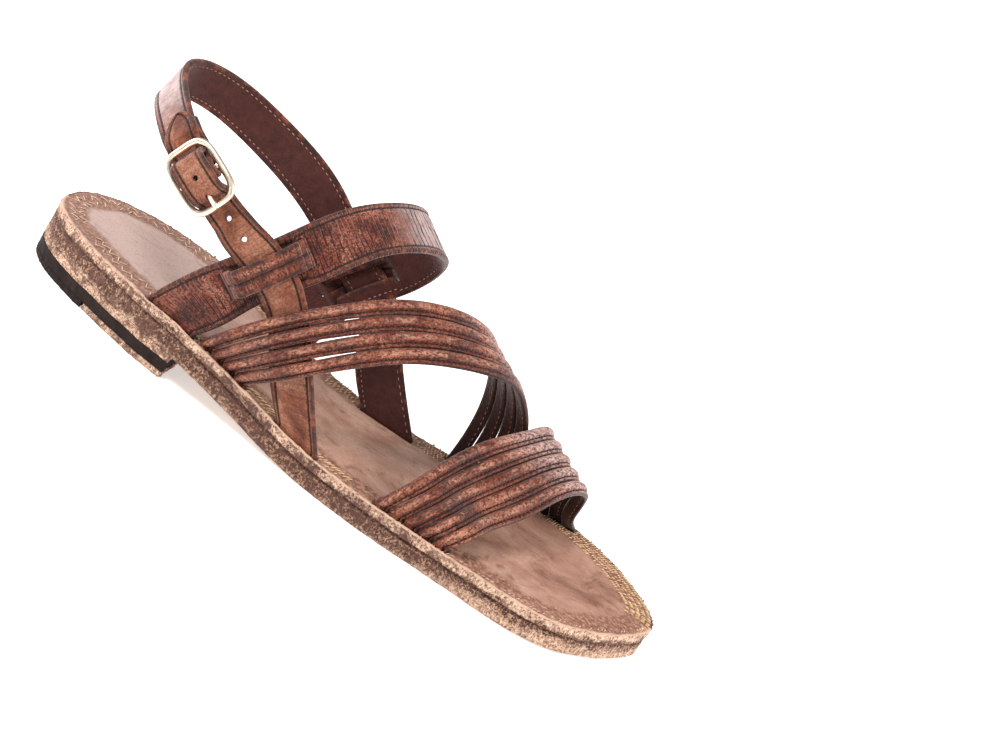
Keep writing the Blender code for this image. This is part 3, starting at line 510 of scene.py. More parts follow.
def put_in(name, points, faces, finish, marks=None, replaced=()):
    """Adds a closed mesh of four-sided faces as a piece of the sandal. Marks are point
    attributes, and `replaced` holds the frame's nodes that the piece stands for."""
    points = points.reshape(-1, 3) - ORIGIN
    faces = facing_out(points, faces)
    mesh = bpy.data.meshes.new(name)
    mesh.vertices.add(len(points))
    mesh.vertices.foreach_set("co", points.astype(np.float32).ravel())
    mesh.loops.add(faces.size)
    mesh.loops.foreach_set("vertex_index", np.ascontiguousarray(faces, np.int32).ravel())
    mesh.polygons.add(len(faces))
    mesh.polygons.foreach_set("loop_start", np.arange(0, faces.size, 4, dtype=np.int32))
    mesh.polygons.foreach_set("use_smooth", np.ones(len(faces), bool))
    mesh.update(calc_edges=True)
    mesh.validate()
    for mark, values in (marks or {}).items():
        layer = mesh.attributes.new(mark, "FLOAT", "POINT")
        layer.data.foreach_set("value", np.asarray(values, np.float32).ravel())
    mesh.materials.append(finish)
    made = bpy.data.objects.new(name, mesh)
    bpy.context.scene.collection.objects.link(made)
    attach(made, "root")
    if replaced:
        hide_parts(*replaced)


def ring_faces(rings, around, first=0):
    """Faces between rings of `around` points, each joined to the next ring."""
    ring, turn = np.meshgrid(np.arange(rings - 1), np.arange(around), indexing="ij")
    after = (turn + 1) % around
    here, there = first + ring * around, first + (ring + 1) * around
    faces = np.stack([here + turn, here + after, there + after, there + turn], axis=-1)
    return faces.reshape(-1, 4)


def cap_faces(around, first, forward):
    """Faces that close a ring by pairing its two halves."""
    j = np.arange(around // 2 - 1)
    faces = first + np.stack([j, j + 1, around - 2 - j, around - 1 - j], axis=-1)
    return faces if forward else faces[:, ::-1]


def closed_rings(rings):
    """Points and faces of a skin through rings of points, closed at the first and the last."""
    count, around = rings.shape[:2]
    faces = [
        ring_faces(count, around),
        cap_faces(around, 0, False),
        cap_faces(around, (count - 1) * around, True),
    ]
    return rings.reshape(-1, 3), np.concatenate(faces)


def rounding(from_edge, radius):
    """How far a face falls towards its edge: the gap under a quarter circle of the radius."""
    near = np.clip(radius - from_edge, 0.0, radius)
    return radius - np.sqrt(radius**2 - near**2)


def two_faces(middle, normal, up, down, kept):
    """Points and faces of a strip with one grid `up` and one `down` from its middle surface,
    joined round every open edge of the kept cells."""
    rows, columns = middle.shape[:2]
    size = rows * columns
    points = np.concatenate(
        [
            (middle + normal * up[..., None]).reshape(-1, 3),
            (middle - normal * down[..., None]).reshape(-1, 3),
        ]
    )
    at = np.arange(size).reshape(rows, columns)
    a, b, c, d = at[:-1, :-1], at[1:, :-1], at[1:, 1:], at[:-1, 1:]
    faces = [
        np.stack([a[kept], b[kept], c[kept], d[kept]], axis=-1),
        np.stack([a[kept], d[kept], c[kept], b[kept]], axis=-1) + size,
    ]
    padded = np.pad(kept, 1)
    sides = (
        (kept & ~padded[1:-1, :-2], b, a),
        (kept & ~padded[1:-1, 2:], d, c),
        (kept & ~padded[2:, 1:-1], c, b),
        (kept & ~padded[:-2, 1:-1], a, d),
    )
    for open_side, start, end in sides:
        s, e = start[open_side], end[open_side]
        faces.append(np.stack([s, e, e + size, s + size], axis=-1))
    return points, np.concatenate(faces)


def small_bars(start, end, out, width, height, bow):
    """Points and faces of many short rounded bars. Each has four sections of four points,
    narrow at both ends, and its middle stands `bow` proud along `out`."""
    start, end, out = (np.asarray(given, float) for given in (start, end, out))
    onward = unit(end - start)
    side = unit(np.cross(out, onward))
    share = np.array([0.0, 0.25, 0.75, 1.0])
    thick = np.array([0.45, 1.0, 1.0, 0.45])
    width, height, bow = (np.broadcast_to(size, len(start)) for size in (width, height, bow))
    centre = start[:, None] + (end - start)[:, None] * share[None, :, None]
    centre = centre + out[:, None] * (bow[:, None] * np.sin(pi * share))[..., None]
    corners = ((-0.5, 0.0), (0.0, 0.5), (0.5, 0.0), (0.0, -0.5))
    points = [
        centre
        + side[:, None] * (width[:, None] * thick * across)[..., None]
        + out[:, None] * (height[:, None] * thick * up)[..., None]
        for across, up in corners
    ]
    points = np.stack(points, axis=2)
    ends = np.array([(3, 2, 1, 0), (12, 13, 14, 15)])
    one = np.concatenate([ring_faces(4, 4), ends])
    faces = one[None] + 16 * np.arange(len(start))[:, None, None]
    return points.reshape(-1, 3), faces.reshape(-1, 4)


# Finishes


def rgb(red, green, blue):
    """A colour given from 0 to 255, as the shader's linear numbers."""
    share = np.array([red, green, blue]) / 255
    linear = np.where(share <= 0.04045, share / 12.92, ((share + 0.055) / 1.055) ** 2.4)
    return (*linear.tolist(), 1.0)


class Finish:
    """A material being mixed. Each method adds one node and returns its output; whatever is
    handed in may be a number, a colour or another node's output."""

    def __init__(self, name, metallic=0.0, shine=0.5, bloom=0.0):
        self.made = bpy.data.materials.new(name)
        self.made.use_nodes = True
        self.tree = self.made.node_tree
        self.shader = self.tree.nodes["Principled BSDF"]
        self.shader.inputs["Metallic"].default_value = metallic
        self.shader.inputs["Specular IOR Level"].default_value = shine
        self.shader.inputs["Sheen Weight"].default_value = bloom
        self.shader.inputs["Sheen Roughness"].default_value = 0.35
        self.shader.inputs["Sheen Tint"].default_value = (1.0, 0.88, 0.87, 1.0)

    def plug(self, socket, value):
        if isinstance(value, bpy.types.NodeSocket):
            self.tree.links.new(value, socket)
        elif value is not None:
            socket.default_value = value

    def finish(self, socket, value):
        self.plug(self.shader.inputs[socket], value)

    def place(self):
        return self.tree.nodes.new("ShaderNodeTexCoord").outputs["Object"]

    def stretched(self, where, stretch):
        node = self.tree.nodes.new("ShaderNodeMapping")
        self.plug(node.inputs["Vector"], where)
        node.inputs["Scale"].default_value = stretch
        return node.outputs["Vector"]

    def mark(self, name):
        node = self.tree.nodes.new("ShaderNodeAttribute")
        node.attribute_name = name
        return node.outputs["Fac"]

    def sheet(self, run, span):
        """Coordinates that follow a strap: run along it, span across it."""
        node = self.tree.nodes.new("ShaderNodeCombineXYZ")
        self.plug(node.inputs["X"], run)
        self.plug(node.inputs["Y"], span)
        return node.outputs["Vector"]

    def axis(self, where, name):
        node = self.tree.nodes.new("ShaderNodeSeparateXYZ")
        self.plug(node.inputs["Vector"], where)
        return node.outputs[name]

    def noise(self, where, scale, detail=3.0, roughness=0.55, distortion=0.0):
        node = self.tree.nodes.new("ShaderNodeTexNoise")
        self.plug(node.inputs["Vector"], where)
        node.inputs["Scale"].default_value = scale
        node.inputs["Detail"].default_value = detail
        node.inputs["Roughness"].default_value = roughness
        node.inputs["Distortion"].default_value = distortion
        return node.outputs["Fac"]

    def cells(self, where, scale):
        """Round pores: the distance to the nearest of scattered points."""
        node = self.tree.nodes.new("ShaderNodeTexVoronoi")
        self.plug(node.inputs["Vector"], where)
        node.inputs["Scale"].default_value = scale
        return node.outputs["Distance"]

    def furrows(self, where, pitch, bend, size):
        """Lines across X about `pitch` metres apart, 0 on each line and 1 between them. They
        bend by noise of a given size in metres."""
        node = self.tree.nodes.new("ShaderNodeTexWave")
        self.plug(node.inputs["Vector"], where)
        scale = 2 * pi / 20 / pitch
        node.inputs["Scale"].default_value = scale
        node.inputs["Distortion"].default_value = bend
        node.inputs["Detail"].default_value = 2.0
        node.inputs["Detail Scale"].default_value = 1 / size / scale
        return node.outputs["Fac"]

    def fade(self, value, start, end):
        """0 at start, 1 at end, smooth between."""
        node = self.tree.nodes.new("ShaderNodeMapRange")
        node.interpolation_type = "SMOOTHSTEP"
        self.plug(node.inputs["Value"], value)
        node.inputs["From Min"].default_value = min(start, end)
        node.inputs["From Max"].default_value = max(start, end)
        node.inputs["To Min"].default_value = 0.0 if start < end else 1.0
        node.inputs["To Max"].default_value = 1.0 if start < end else 0.0
        return node.outputs["Result"]

    def tones(self, value, *stops):
        """A ramp of (position, colour) stops."""
        node = self.tree.nodes.new("ShaderNodeValToRGB")
        self.plug(node.inputs["Fac"], value)
        ramp = node.color_ramp
        while len(ramp.elements) < len(stops):
            ramp.elements.new(0.5)
        for element, (position, colour) in zip(ramp.elements, stops):
            element.position = position
            element.color = colour
        return node.outputs["Color"]

    def blend(self, share, under, over):
        node = self.tree.nodes.new("ShaderNodeMix")
        node.data_type = "RGBA"
        self.plug(node.inputs[0], share)
        self.plug(node.inputs[6], under)
        self.plug(node.inputs[7], over)
        return node.outputs[2]

    def sum(self, kind, first, second):
        node = self.tree.nodes.new("ShaderNodeMath")
        node.operation = kind
        self.plug(node.inputs[0], first)
        self.plug(node.inputs[1], second)
        return node.outputs["Value"]

    def times(self, first, second):
        return self.sum("MULTIPLY", first, second)

    def plus(self, first, second):
        return self.sum("ADD", first, second)

    def cover(self, colour, share, strength, tone):
        """The colour with a tone over it, as strong as given where the share is 1."""
        return self.blend(self.times(share, strength), colour, tone)

    def relief(self, height, depth, under=None, strength=1.0):
        """Bumps `depth` metres high where the height is 1."""
        node = self.tree.nodes.new("ShaderNodeBump")
        node.inputs["Distance"].default_value = depth
        node.inputs["Strength"].default_value = strength
        self.plug(node.inputs["Height"], height)
        self.plug(node.inputs["Normal"], under)
        return node.outputs["Normal"]


def strap_leather(name, deep, mid, pale, wrinkled, speckle, sheen_runs):
    """Pebbled oiled leather on the outer face, smooth dark lining on the inner one, dark in
    the sewn grooves and burnished along the cut edges. `wrinkled` is how strongly fine cracks
    run across the strap, `speckle` how uneven its tone is from pore to pore, and the last
    argument from where to where along it a pale sheen is painted on as a highlight."""
    mix = Finish(name, shine=0.22, bloom=0.42)
    where = mix.sheet(mix.mark("run"), mix.mark("span"))
    patches = mix.noise(where, 75.0, 4.0, 0.6, 0.5)
    colour = mix.tones(patches, (0.36, deep), (0.50, mid), (0.62, pale))
    rust = mix.fade(mix.noise(where, 110.0, 4.0, 0.65, 0.8), 0.46, 0.60)
    colour = mix.cover(colour, rust, 0.2 + 0.4 * wrinkled, rgb(124, 50, 24))
    mottle = mix.noise(where, 700.0, 4.0, 0.75)
    colour = mix.cover(colour, mix.fade(mottle, 0.52, 0.66), speckle, pale)
    colour = mix.cover(colour, mix.fade(mottle, 0.48, 0.34), speckle, deep)
    pebbles = mix.cells(where, 1600.0)
    valleys = mix.fade(pebbles, 0.36, 0.70)
    colour = mix.cover(colour, valleys, 0.3 + 0.55 * wrinkled, deep)
    crackle = mix.furrows(mix.stretched(where, (1.0, 0.30, 1.0)), 0.0021, 9.0, 0.011)
    broken = mix.fade(mix.noise(mix.stretched(where, (1.0, 0.6, 1.0)), 330.0, 2.0), 0.40, 0.50)
    zone = mix.times(mix.plus(mix.times(broken, 0.85), 0.15), wrinkled)
    lines = mix.times(mix.fade(crackle, 0.14, 0.04), zone)
    # Painted shade: a dark band beside each crack line.
    beside = mix.times(mix.fade(crackle, 0.34, 0.10), zone)
    colour = mix.cover(colour, beside, 0.55, deep)
    # The crack lines are dark, and pale in patches as a painted highlight; this noise picks the
    # pale patches.
    worn = mix.fade(mix.noise(where, 38.0, 2.0), 0.47, 0.55)
    in_lines = mix.blend(mix.times(worn, 0.6), rgb(34, 12, 9), rgb(168, 112, 92))
    colour = mix.cover(colour, lines, 0.85, in_lines)
    # Painted highlight: a pale sheen painted on over the given stretch of the run, in patches, and
    # left out of the cracks.
    painted_sheen = mix.times(
        mix.fade(mix.mark("run"), sheen_runs[0] - 0.012, sheen_runs[0] + 0.008),
        mix.fade(mix.mark("run"), sheen_runs[1] + 0.012, sheen_runs[1] - 0.008),
    )
    sheen_patches = mix.plus(mix.times(mix.fade(mix.noise(where, 170.0, 4.0, 0.7), 0.36, 0.62), 0.4), 0.42)
    uncracked = mix.plus(mix.times(mix.fade(crackle, 0.02, 0.22), wrinkled), 1.0 - wrinkled)
    painted_sheen = mix.times(painted_sheen, mix.times(sheen_patches, uncracked))
    colour = mix.blend(painted_sheen, colour, rgb(192, 174, 172))
    lining = mix.tones(
        mix.noise(where, 240.0, 5.0, 0.7), (0.30, rgb(58, 27, 23)), (0.70, rgb(84, 43, 37))
    )
    outer = mix.fade(mix.mark("face"), 0.45, 0.55)
    colour = mix.blend(outer, lining, colour)
    seam = mix.fade(mix.mark("seam"), 0.10, 0.60)
    colour = mix.cover(colour, seam, 0.8, rgb(30, 14, 12))
    cut = mix.fade(mix.mark("rim"), 2.1, 0.7)
    burnish = mix.tones(
        mix.noise(where, 190.0, 4.0, 0.7),
        (0.38, rgb(42, 22, 18)),
        (0.52, rgb(70, 36, 28)),
        (0.64, rgb(134, 70, 46)),
    )
    colour = mix.cover(colour, cut, 0.92, burnish)
    mix.finish("Base Color", colour)
    gloss = mix.plus(mix.times(mix.noise(where, 260.0, 3.0), 0.2), 0.34)
    gloss = mix.plus(gloss, mix.times(valleys, 0.12))
    mix.finish("Roughness", gloss)
    fine = mix.relief(pebbles, -0.00016)
    fine = mix.relief(mottle, 0.00016, fine)
    cracks = mix.times(mix.fade(crackle, 0.02, 0.30), outer)
    mix.finish("Normal", mix.relief(cracks, 0.00022, fine, 0.9 * wrinkled + 0.05))
    return mix.made


def cord_leather(name, deep, mid, pale):
    """Thin pebbled leather round a core: pale on the crown, partly rubbed and partly a painted
    highlight, a painted sheen on its upper side towards +Y, painted shade low on its sides and
    in the groove, and orange-brown patches."""
    mix = Finish(name, shine=0.30, bloom=0.34)
    where = mix.sheet(mix.mark("run"), mix.mark("span"))
    placed = mix.place()
    patches = mix.noise(placed, 42.0, 4.0, 0.6, 0.4)
    colour = mix.tones(patches, (0.36, deep), (0.50, mid), (0.62, pale))
    rust = mix.fade(mix.noise(placed, 62.0, 4.0, 0.65, 0.6), 0.46, 0.60)
    colour = mix.cover(colour, rust, 0.6, rgb(128, 54, 26))
    grain = mix.noise(mix.stretched(where, (0.7, 1.0, 1.0)), 850.0, 4.0, 0.75)
    colour = mix.cover(colour, mix.fade(grain, 0.52, 0.66), 0.7, pale)
    colour = mix.cover(colour, mix.fade(grain, 0.49, 0.36), 0.9, deep)
    pebbles = mix.cells(where, 1400.0)
    valleys = mix.fade(pebbles, 0.36, 0.70)
    colour = mix.cover(colour, valleys, 0.85, deep)
    # Pale rubbed crown: partly real wear, partly a painted highlight on the top of the cord.
    crown = mix.fade(mix.mark("crest"), 0.60, 1.0)
    rubbed = mix.times(crown, mix.fade(mix.noise(placed, 100.0, 4.0, 0.7), 0.38, 0.62))
    rubbed = mix.times(rubbed, mix.fade(grain, 0.38, 0.60))
    colour = mix.cover(colour, rubbed, 0.75, rgb(202, 144, 118))
    # Painted highlight: a pale sheen painted on the upper side, growing towards +Y.
    upper = mix.times(mix.fade(mix.mark("crest"), 0.0, 0.5), 0.75)
    painted_sheen = mix.times(upper, mix.fade(mix.axis(placed, "Y"), -0.012, 0.012))
    colour = mix.cover(colour, painted_sheen, mix.fade(grain, 0.40, 0.60), rgb(208, 176, 168))
    # Painted shade: the cord darkened low on its sides and in its groove, between the cords.
    low = mix.fade(mix.mark("crest"), 0.22, -0.15)
    colour = mix.cover(colour, low, 0.92, rgb(40, 14, 9))
    seam = mix.fade(mix.mark("seam"), 0.35, 0.9)
    colour = mix.cover(colour, seam, 0.12, rgb(46, 22, 17))
    mix.finish("Base Color", colour)
    gloss = mix.plus(mix.times(mix.noise(placed, 260.0, 3.0), 0.2), 0.33)
    mix.finish("Roughness", gloss)
    fine = mix.relief(pebbles, -0.00018)
    mix.finish("Normal", mix.relief(grain, 0.00020, fine))
    return mix.made


def insole_leather(name):
    """Dusty smooth leather, greyed and pink at the heel, browner ahead, stained in patches,
    scratched along the foot, with painted shade round the slots, a rough darker margin inside the
    sewn rows and a pale cut edge that frays dark at its top."""
    mix = Finish(name)
    where = mix.place()
    run, inset, drop = mix.mark("run"), mix.mark("inset"), mix.mark("drop")
    broad = mix.noise(where, 26.0, 5.0, 0.62, 0.8)
    colour = mix.tones(
        broad, (0.32, rgb(128, 84, 66)), (0.48, rgb(168, 124, 104)), (0.66, rgb(198, 158, 138))
    )
    heel = mix.fade(run, 0.105, 0.055)
    colour = mix.cover(colour, heel, 0.85, rgb(198, 172, 163))
    stains = mix.noise(where, 60.0, 6.0, 0.7, 1.4)
    dark = mix.times(mix.fade(stains, 0.52, 0.68), mix.fade(run, 0.02, 0.15))
    colour = mix.cover(colour, dark, 0.62, rgb(96, 56, 40))
    streaks = mix.noise(mix.stretched(where, (0.22, 1.5, 1.0)), 480.0, 4.0, 0.65, 0.8)
    colour = mix.cover(colour, mix.fade(streaks, 0.56, 0.70), 0.40, rgb(98, 62, 50))
    colour = mix.cover(colour, mix.fade(streaks, 0.42, 0.30), 0.30, rgb(186, 156, 142))
    pores = mix.noise(where, 1200.0, 4.0, 0.75)
    colour = mix.cover(colour, mix.fade(pores, 0.53, 0.68), 0.5, rgb(96, 60, 48))
    wander = mix.times(mix.plus(mix.noise(where, 120.0, 3.0), -0.5), 7.0)
    margin = mix.fade(mix.plus(inset, wander), 13.4, 10.0)
    rough = mix.noise(where, 640.0, 5.0, 0.75)
    margin_tone = mix.tones(
        rough,
        (0.36, rgb(66, 34, 25)),
        (0.50, rgb(132, 86, 66)),
        (0.64, rgb(190, 146, 120)),
    )
    colour = mix.cover(colour, margin, 0.8, margin_tone)
    # Painted shade: darker round each slot, where the strap goes down into the sole.
    colour = mix.cover(colour, mix.mark("slot"), 0.85, rgb(58, 34, 28))
    lip = mix.fade(mix.plus(inset, mix.times(wander, 0.25)), 1.7, 0.6)
    pale_lip = mix.times(lip, mix.fade(mix.mark("inner"), 0.6, 0.4))
    colour = mix.cover(colour, pale_lip, 0.7, rgb(214, 178, 154))
    lip = mix.times(lip, mix.fade(mix.mark("inner"), 0.4, 0.6))
    colour = mix.cover(colour, lip, 0.85, rgb(62, 32, 26))
    cut = cut_edge(mix, where, drop)
    colour = mix.blend(mix.fade(drop, 0.35, 0.75), colour, cut)
    mix.finish("Base Color", colour)
    mix.finish("Roughness", mix.plus(mix.times(rough, 0.25), 0.52))
    soft = mix.relief(streaks, 0.00016)
    soft = mix.relief(rough, 0.00040, soft, 0.5)
    soft = mix.relief(mix.noise(where, 2600.0, 3.0), 0.00010, soft)
    mix.finish("Normal", soft)
    return mix.made


def cut_edge(mix, where, drop):
    """Colour of the sole's cut side by how many millimetres it lies under the footbed: pale
    frayed insole, dark seam, brown speckled upper half, cream lower half."""
    speck = mix.noise(mix.stretched(where, (1.0, 1.0, 0.8)), 1150.0, 5.0, 0.8)
    blotch = mix.noise(where, 95.0, 4.0, 0.62, 0.6)
    cream = mix.tones(
        speck,
        (0.40, rgb(94, 56, 40)),
        (0.47, rgb(172, 128, 102)),
        (0.57, rgb(224, 192, 166)),
    )
    brown = mix.tones(
        speck,
        (0.41, rgb(38, 18, 13)),
        (0.50, rgb(88, 50, 36)),
        (0.58, rgb(188, 144, 114)),
    )
    uneven = mix.plus(drop, mix.times(mix.plus(blotch, -0.5), 9.0))
    toeward = mix.fade(mix.axis(where, "X"), 0.11, 0.17)
    into_brown = mix.fade(uneven, 2.2, 3.8)
    out_of_brown = mix.fade(mix.plus(uneven, mix.times(toeward, 3.0)), 12.2, 9.0)
    colour = mix.blend(mix.times(into_brown, out_of_brown), cream, brown)
    dirt = mix.fade(mix.noise(where, 170.0, 6.0, 0.75, 0.8), 0.46, 0.60)
    soiled = mix.times(dirt, mix.plus(mix.times(toeward, -0.45), 0.85))
    waist = mix.times(mix.fade(mix.axis(where, "X"), 0.02, 0.06), mix.fade(toeward, 1.0, 0.2))
    soiled = mix.plus(soiled, mix.times(waist, mix.times(mix.fade(blotch, 0.34, 0.56), 0.35)))
    colour = mix.blend(soiled, colour, rgb(84, 48, 35))
    seam = mix.times(mix.fade(drop, 3.9, 4.3), mix.fade(drop, 5.7, 5.2))
    return mix.blend(mix.times(seam, 0.3), colour, rgb(76, 44, 33))


def stacked_leather(name):
    """The outsole's and the heel's cut leather, fibrous and rubbed, with a worn plain under
    side."""
    mix = Finish(name)
    where = mix.place()
    colour = cut_edge(mix, where, mix.mark("drop"))
    under = mix.mark("under")
    tread = mix.tones(
        mix.noise(mix.stretched(where, (0.6, 1.4, 1.0)), 240.0, 6.0, 0.7, 0.6),
        (0.32, rgb(120, 88, 66)),
        (0.52, rgb(184, 150, 120)),
        (0.70, rgb(212, 184, 156)),
    )
    colour = mix.blend(mix.fade(under, 0.3, 0.7), colour, tread)
    mix.finish("Base Color", colour)
    mix.finish("Roughness", mix.plus(mix.times(mix.noise(where, 500.0), 0.2), 0.65))
    fibres = mix.noise(mix.stretched(where, (1.0, 1.0, 2.2)), 900.0, 5.0, 0.75)
    rough = mix.relief(fibres, 0.00045)
    mix.finish("Normal", mix.relief(mix.noise(where, 260.0, 3.0), 0.0004, rough))
    return mix.made


def rubber(name):
    """Matt black rubber with dust in patches, and fine scuffs."""
    mix = Finish(name, shine=0.15)
    where = mix.place()
    dust = mix.noise(where, 150.0, 5.0, 0.65)
    colour = mix.tones(
        dust, (0.35, rgb(26, 17, 15)), (0.60, rgb(44, 32, 29)), (0.78, rgb(78, 62, 54))
    )
    specks = mix.fade(mix.noise(where, 1500.0, 2.0), 0.70, 0.76)
    colour = mix.cover(colour, specks, 0.5, rgb(130, 112, 98))
    mix.finish("Base Color", colour)
    mix.finish("Roughness", mix.plus(mix.times(dust, 0.2), 0.62))
    mix.finish("Normal", mix.relief(mix.noise(where, 2200.0, 3.0), 0.0001))
    return mix.made


def brass(name):
    """Pale gold plate, softly rubbed, with fine scratches and duller patches."""
    mix = Finish(name, metallic=1.0)
    where = mix.place()
    worn = mix.noise(where, 300.0, 4.0, 0.6)
    colour = mix.tones(
        worn, (0.30, rgb(246, 220, 188)), (0.50, rgb(253, 234, 208)), (0.72, rgb(255, 243, 226))
    )
    mix.finish("Base Color", colour)
    mix.finish("Roughness", mix.plus(mix.times(worn, 0.10), 0.27))
    scratches = mix.noise(mix.stretched(where, (0.3, 1.0, 3.0)), 2600.0, 3.0)
    mix.finish("Normal", mix.relief(scratches, 0.000002))
    return mix.made


def thread(name, dark, light):
    """Waxed thread: two tones in a fine twist."""
    mix = Finish(name)
    where = mix.place()
    twist = mix.noise(where, 1400.0, 3.0, 0.7)
    mix.finish("Base Color", mix.tones(twist, (0.35, dark), (0.65, light)))
    mix.finish("Roughness", mix.plus(mix.times(twist, 0.2), 0.5))
    mix.finish("Normal", mix.relief(mix.noise(where, 6000.0, 2.0), 0.00004))
    return mix.made


# The last argument of each strap finish is the stretch of its run that gets a painted sheen
# highlight.
BAND_FINISH = strap_leather(
    "band_leather", rgb(48, 16, 9), rgb(112, 50, 33), rgb(172, 106, 84), 1.0, 0.55, (0.102, 0.128)
)
SLING_SHEEN_RUNS = (0.172, 0.196)
SLING_FINISH = strap_leather(
    "sling_leather", rgb(60, 22, 15), rgb(122, 66, 52), rgb(172, 120, 104), 0.2, 0.35, SLING_SHEEN_RUNS
)
# A stretch off the strap, so the billet gets no painted sheen.
NO_SHEEN_RUNS = (-1.0, -0.9)
BILLET_FINISH = strap_leather(
    "billet_leather", rgb(86, 42, 28), rgb(146, 90, 66), rgb(176, 124, 98), 0.25, 0.22, NO_SHEEN_RUNS
)
CORD_FINISH = cord_leather("cord_leather", rgb(54, 16, 8), rgb(112, 50, 29), rgb(168, 100, 70))
INSOLE_FINISH = insole_leather("insole_leather")
SOLE_FINISH = stacked_leather("stacked_leather")
RUBBER_FINISH = rubber("black_rubber")
BRASS_FINISH = brass("pale_brass")
DARK_THREAD = thread("dark_thread", rgb(18, 11, 11), rgb(40, 25, 22))
PALE_THREAD = thread("lining_thread", rgb(128, 84, 72), rgb(196, 156, 138))
GOLD_THREAD = thread("gold_thread", rgb(206, 160, 110), rgb(250, 220, 176))
WORN_THREAD = thread("worn_thread", rgb(204, 166, 138), rgb(238, 210, 186))
FRAY_FINISH = thread("frayed_edge", rgb(70, 38, 30), rgb(150, 102, 82))


# Sole

RING_POINTS = 900
MARGIN = 0.0135
FLAT_INSET = 0.004
FIBRES = 420
MIDDLE_SHARES = (1.0, 0.85, 0.7, 0.55, 0.42, 0.3, 0.2, 0.12, 0.05)


def outline_loop(start=0.0, end=1.0, count=RING_POINTS):
    """The sole's outline between two shares of its length as one loop of evenly spaced
    points, outer side first, and the direction into the sole at each of them."""
    sides = []
    for traced in (OUTER_SIDE, INNER_SIDE[::-1]):
        inside = (traced[:, 0] >= start * LENGTH) & (traced[:, 0] <= end * LENGTH)
        sides.append(traced[inside, :2])
    loop = np.concatenate([*sides, sides[0][:1]])
    keep = np.concatenate([[True], np.linalg.norm(np.diff(loop, axis=0), axis=1) > 1e-6])
    loop = loop[keep]
    run = np.concatenate([[0.0], np.cumsum(np.linalg.norm(np.diff(loop, axis=0), axis=1))])
    at = (np.arange(count) + 0.5) / count * run[-1]
    loop = np.stack([np.interp(at, run, loop[:, k]) for k in range(2)], axis=1)
    reach = max(2, int(0.0012 / (run[-1] / count)))
    onward = unit(np.roll(loop, -reach, axis=0) - np.roll(loop, reach, axis=0))
    return loop, np.stack([-onward[:, 1], onward[:, 0]], axis=1), at


def slot_nearness(points):
    """1 on each slot's line, falling to 0 about 2 mm beside it and past its ends."""
    near = np.zeros(points.shape[:-1])
    for name in SLOTS:
        row = slot_row(name)
        run = unit(row[3:5])
        offset = points[..., :2] - row[:2]
        on = np.abs(offset @ run) - np.linalg.norm(row[3:5]) / 2
        beside = offset @ np.array([-run[1], run[0]])
        half = 0.0019 if name.startswith(("instep", "toe")) else 0.0014
        depth = (1 - smoothstep((np.abs(beside) - half) / 0.0012)) * (1 - smoothstep(on / 0.0014))
        near = np.maximum(near, depth)
    return near


def insole_dents(points, inset):
    """Height of the insole's face over its plain one: shallow waves, a pressed margin, and
    pulled down at the slots."""
    margin = 1 - smoothstep((inset - 0.0085) / 0.0025)
    pressed = margin * (waves(points[..., :2], MARGIN_WAVES) - 0.00012)
    return waves(points[..., :2], INSOLE_WAVES) + pressed - 0.0009 * slot_nearness(points)


def sole_rings(loop, inward, levels):
    """Rings of a sole layer: from the middle of its top out to the edge, down its side, and
    back to the middle of its under side. Each level is (height as a function of along, inset,
    share of the way from the margin to the middle)."""
    along_middle = np.clip(loop[:, 0], loop[:, 0].min() + 0.03, loop[:, 0].max() - 0.03)
    if np.ptp(loop[:, 0]) < 0.08:
        along_middle = np.full(len(loop), loop[:, 0].mean())
    middle = np.stack([along_middle, (edge(-1, along_middle) + edge(1, along_middle)) / 2], axis=1)
    core = middle + 0.15 * (loop - middle)
    rings = []
    for height, inset, share in levels:
        flat = loop + inward * inset
        flat = flat + (core - flat) * share
        rings.append(np.column_stack([flat, height(flat[:, 0])]))
    return np.stack(rings)


def under_footbed(depth):
    return lambda along: footbed(along) - depth


def level_at(height):
    return lambda along: 0 * along + height


def side_levels(top, bottom, steps, round_top=0.0006, round_bottom=0.0006):
    """Levels of a cut side from its rounded top edge to its rounded bottom edge. Top and
    bottom are heights as functions of along; each level mixes the two."""
    levels = []
    for turn in np.linspace(0, pi / 2, 5)[1:-1]:
        levels.append((0.0, -round_top * (1 - cos(turn)), round_top * (1 - sin(turn))))
    for share in np.linspace(0.0, 1.0, steps):
        levels.append((share, -round_top * (1 - share) + round_bottom * share, 0.0))
    for turn in np.linspace(0, pi / 2, 5)[1:-1]:
        levels.append((1.0, round_bottom * (1 - sin(turn)), round_bottom * (1 - cos(turn))))

    def mixed(share, shift):
        return lambda along: top(along) * (1 - share) + bottom(along) * share + shift

    return [(mixed(share, shift), inset, 0.0) for share, shift, inset in levels]


def plain_side(top, bottom):
    return side_levels(top, bottom, 8, 0.00015, 0.0003)


def seamed_side(top, bottom):
    """The outsole's side: its top edge is set back to make the dark seam under the insole."""
    lower = under_footbed(INSOLE_THICK + SHUT_GAP + WELT_HEIGHT)
    seam = [(top, SEAM_SET_BACK + 0.0003, 0.0), (top, SEAM_SET_BACK, 0.0)]
    return seam + [(lower, SEAM_SET_BACK, 0.0)] + side_levels(lower, bottom, 12, 0.0002, 0.0005)


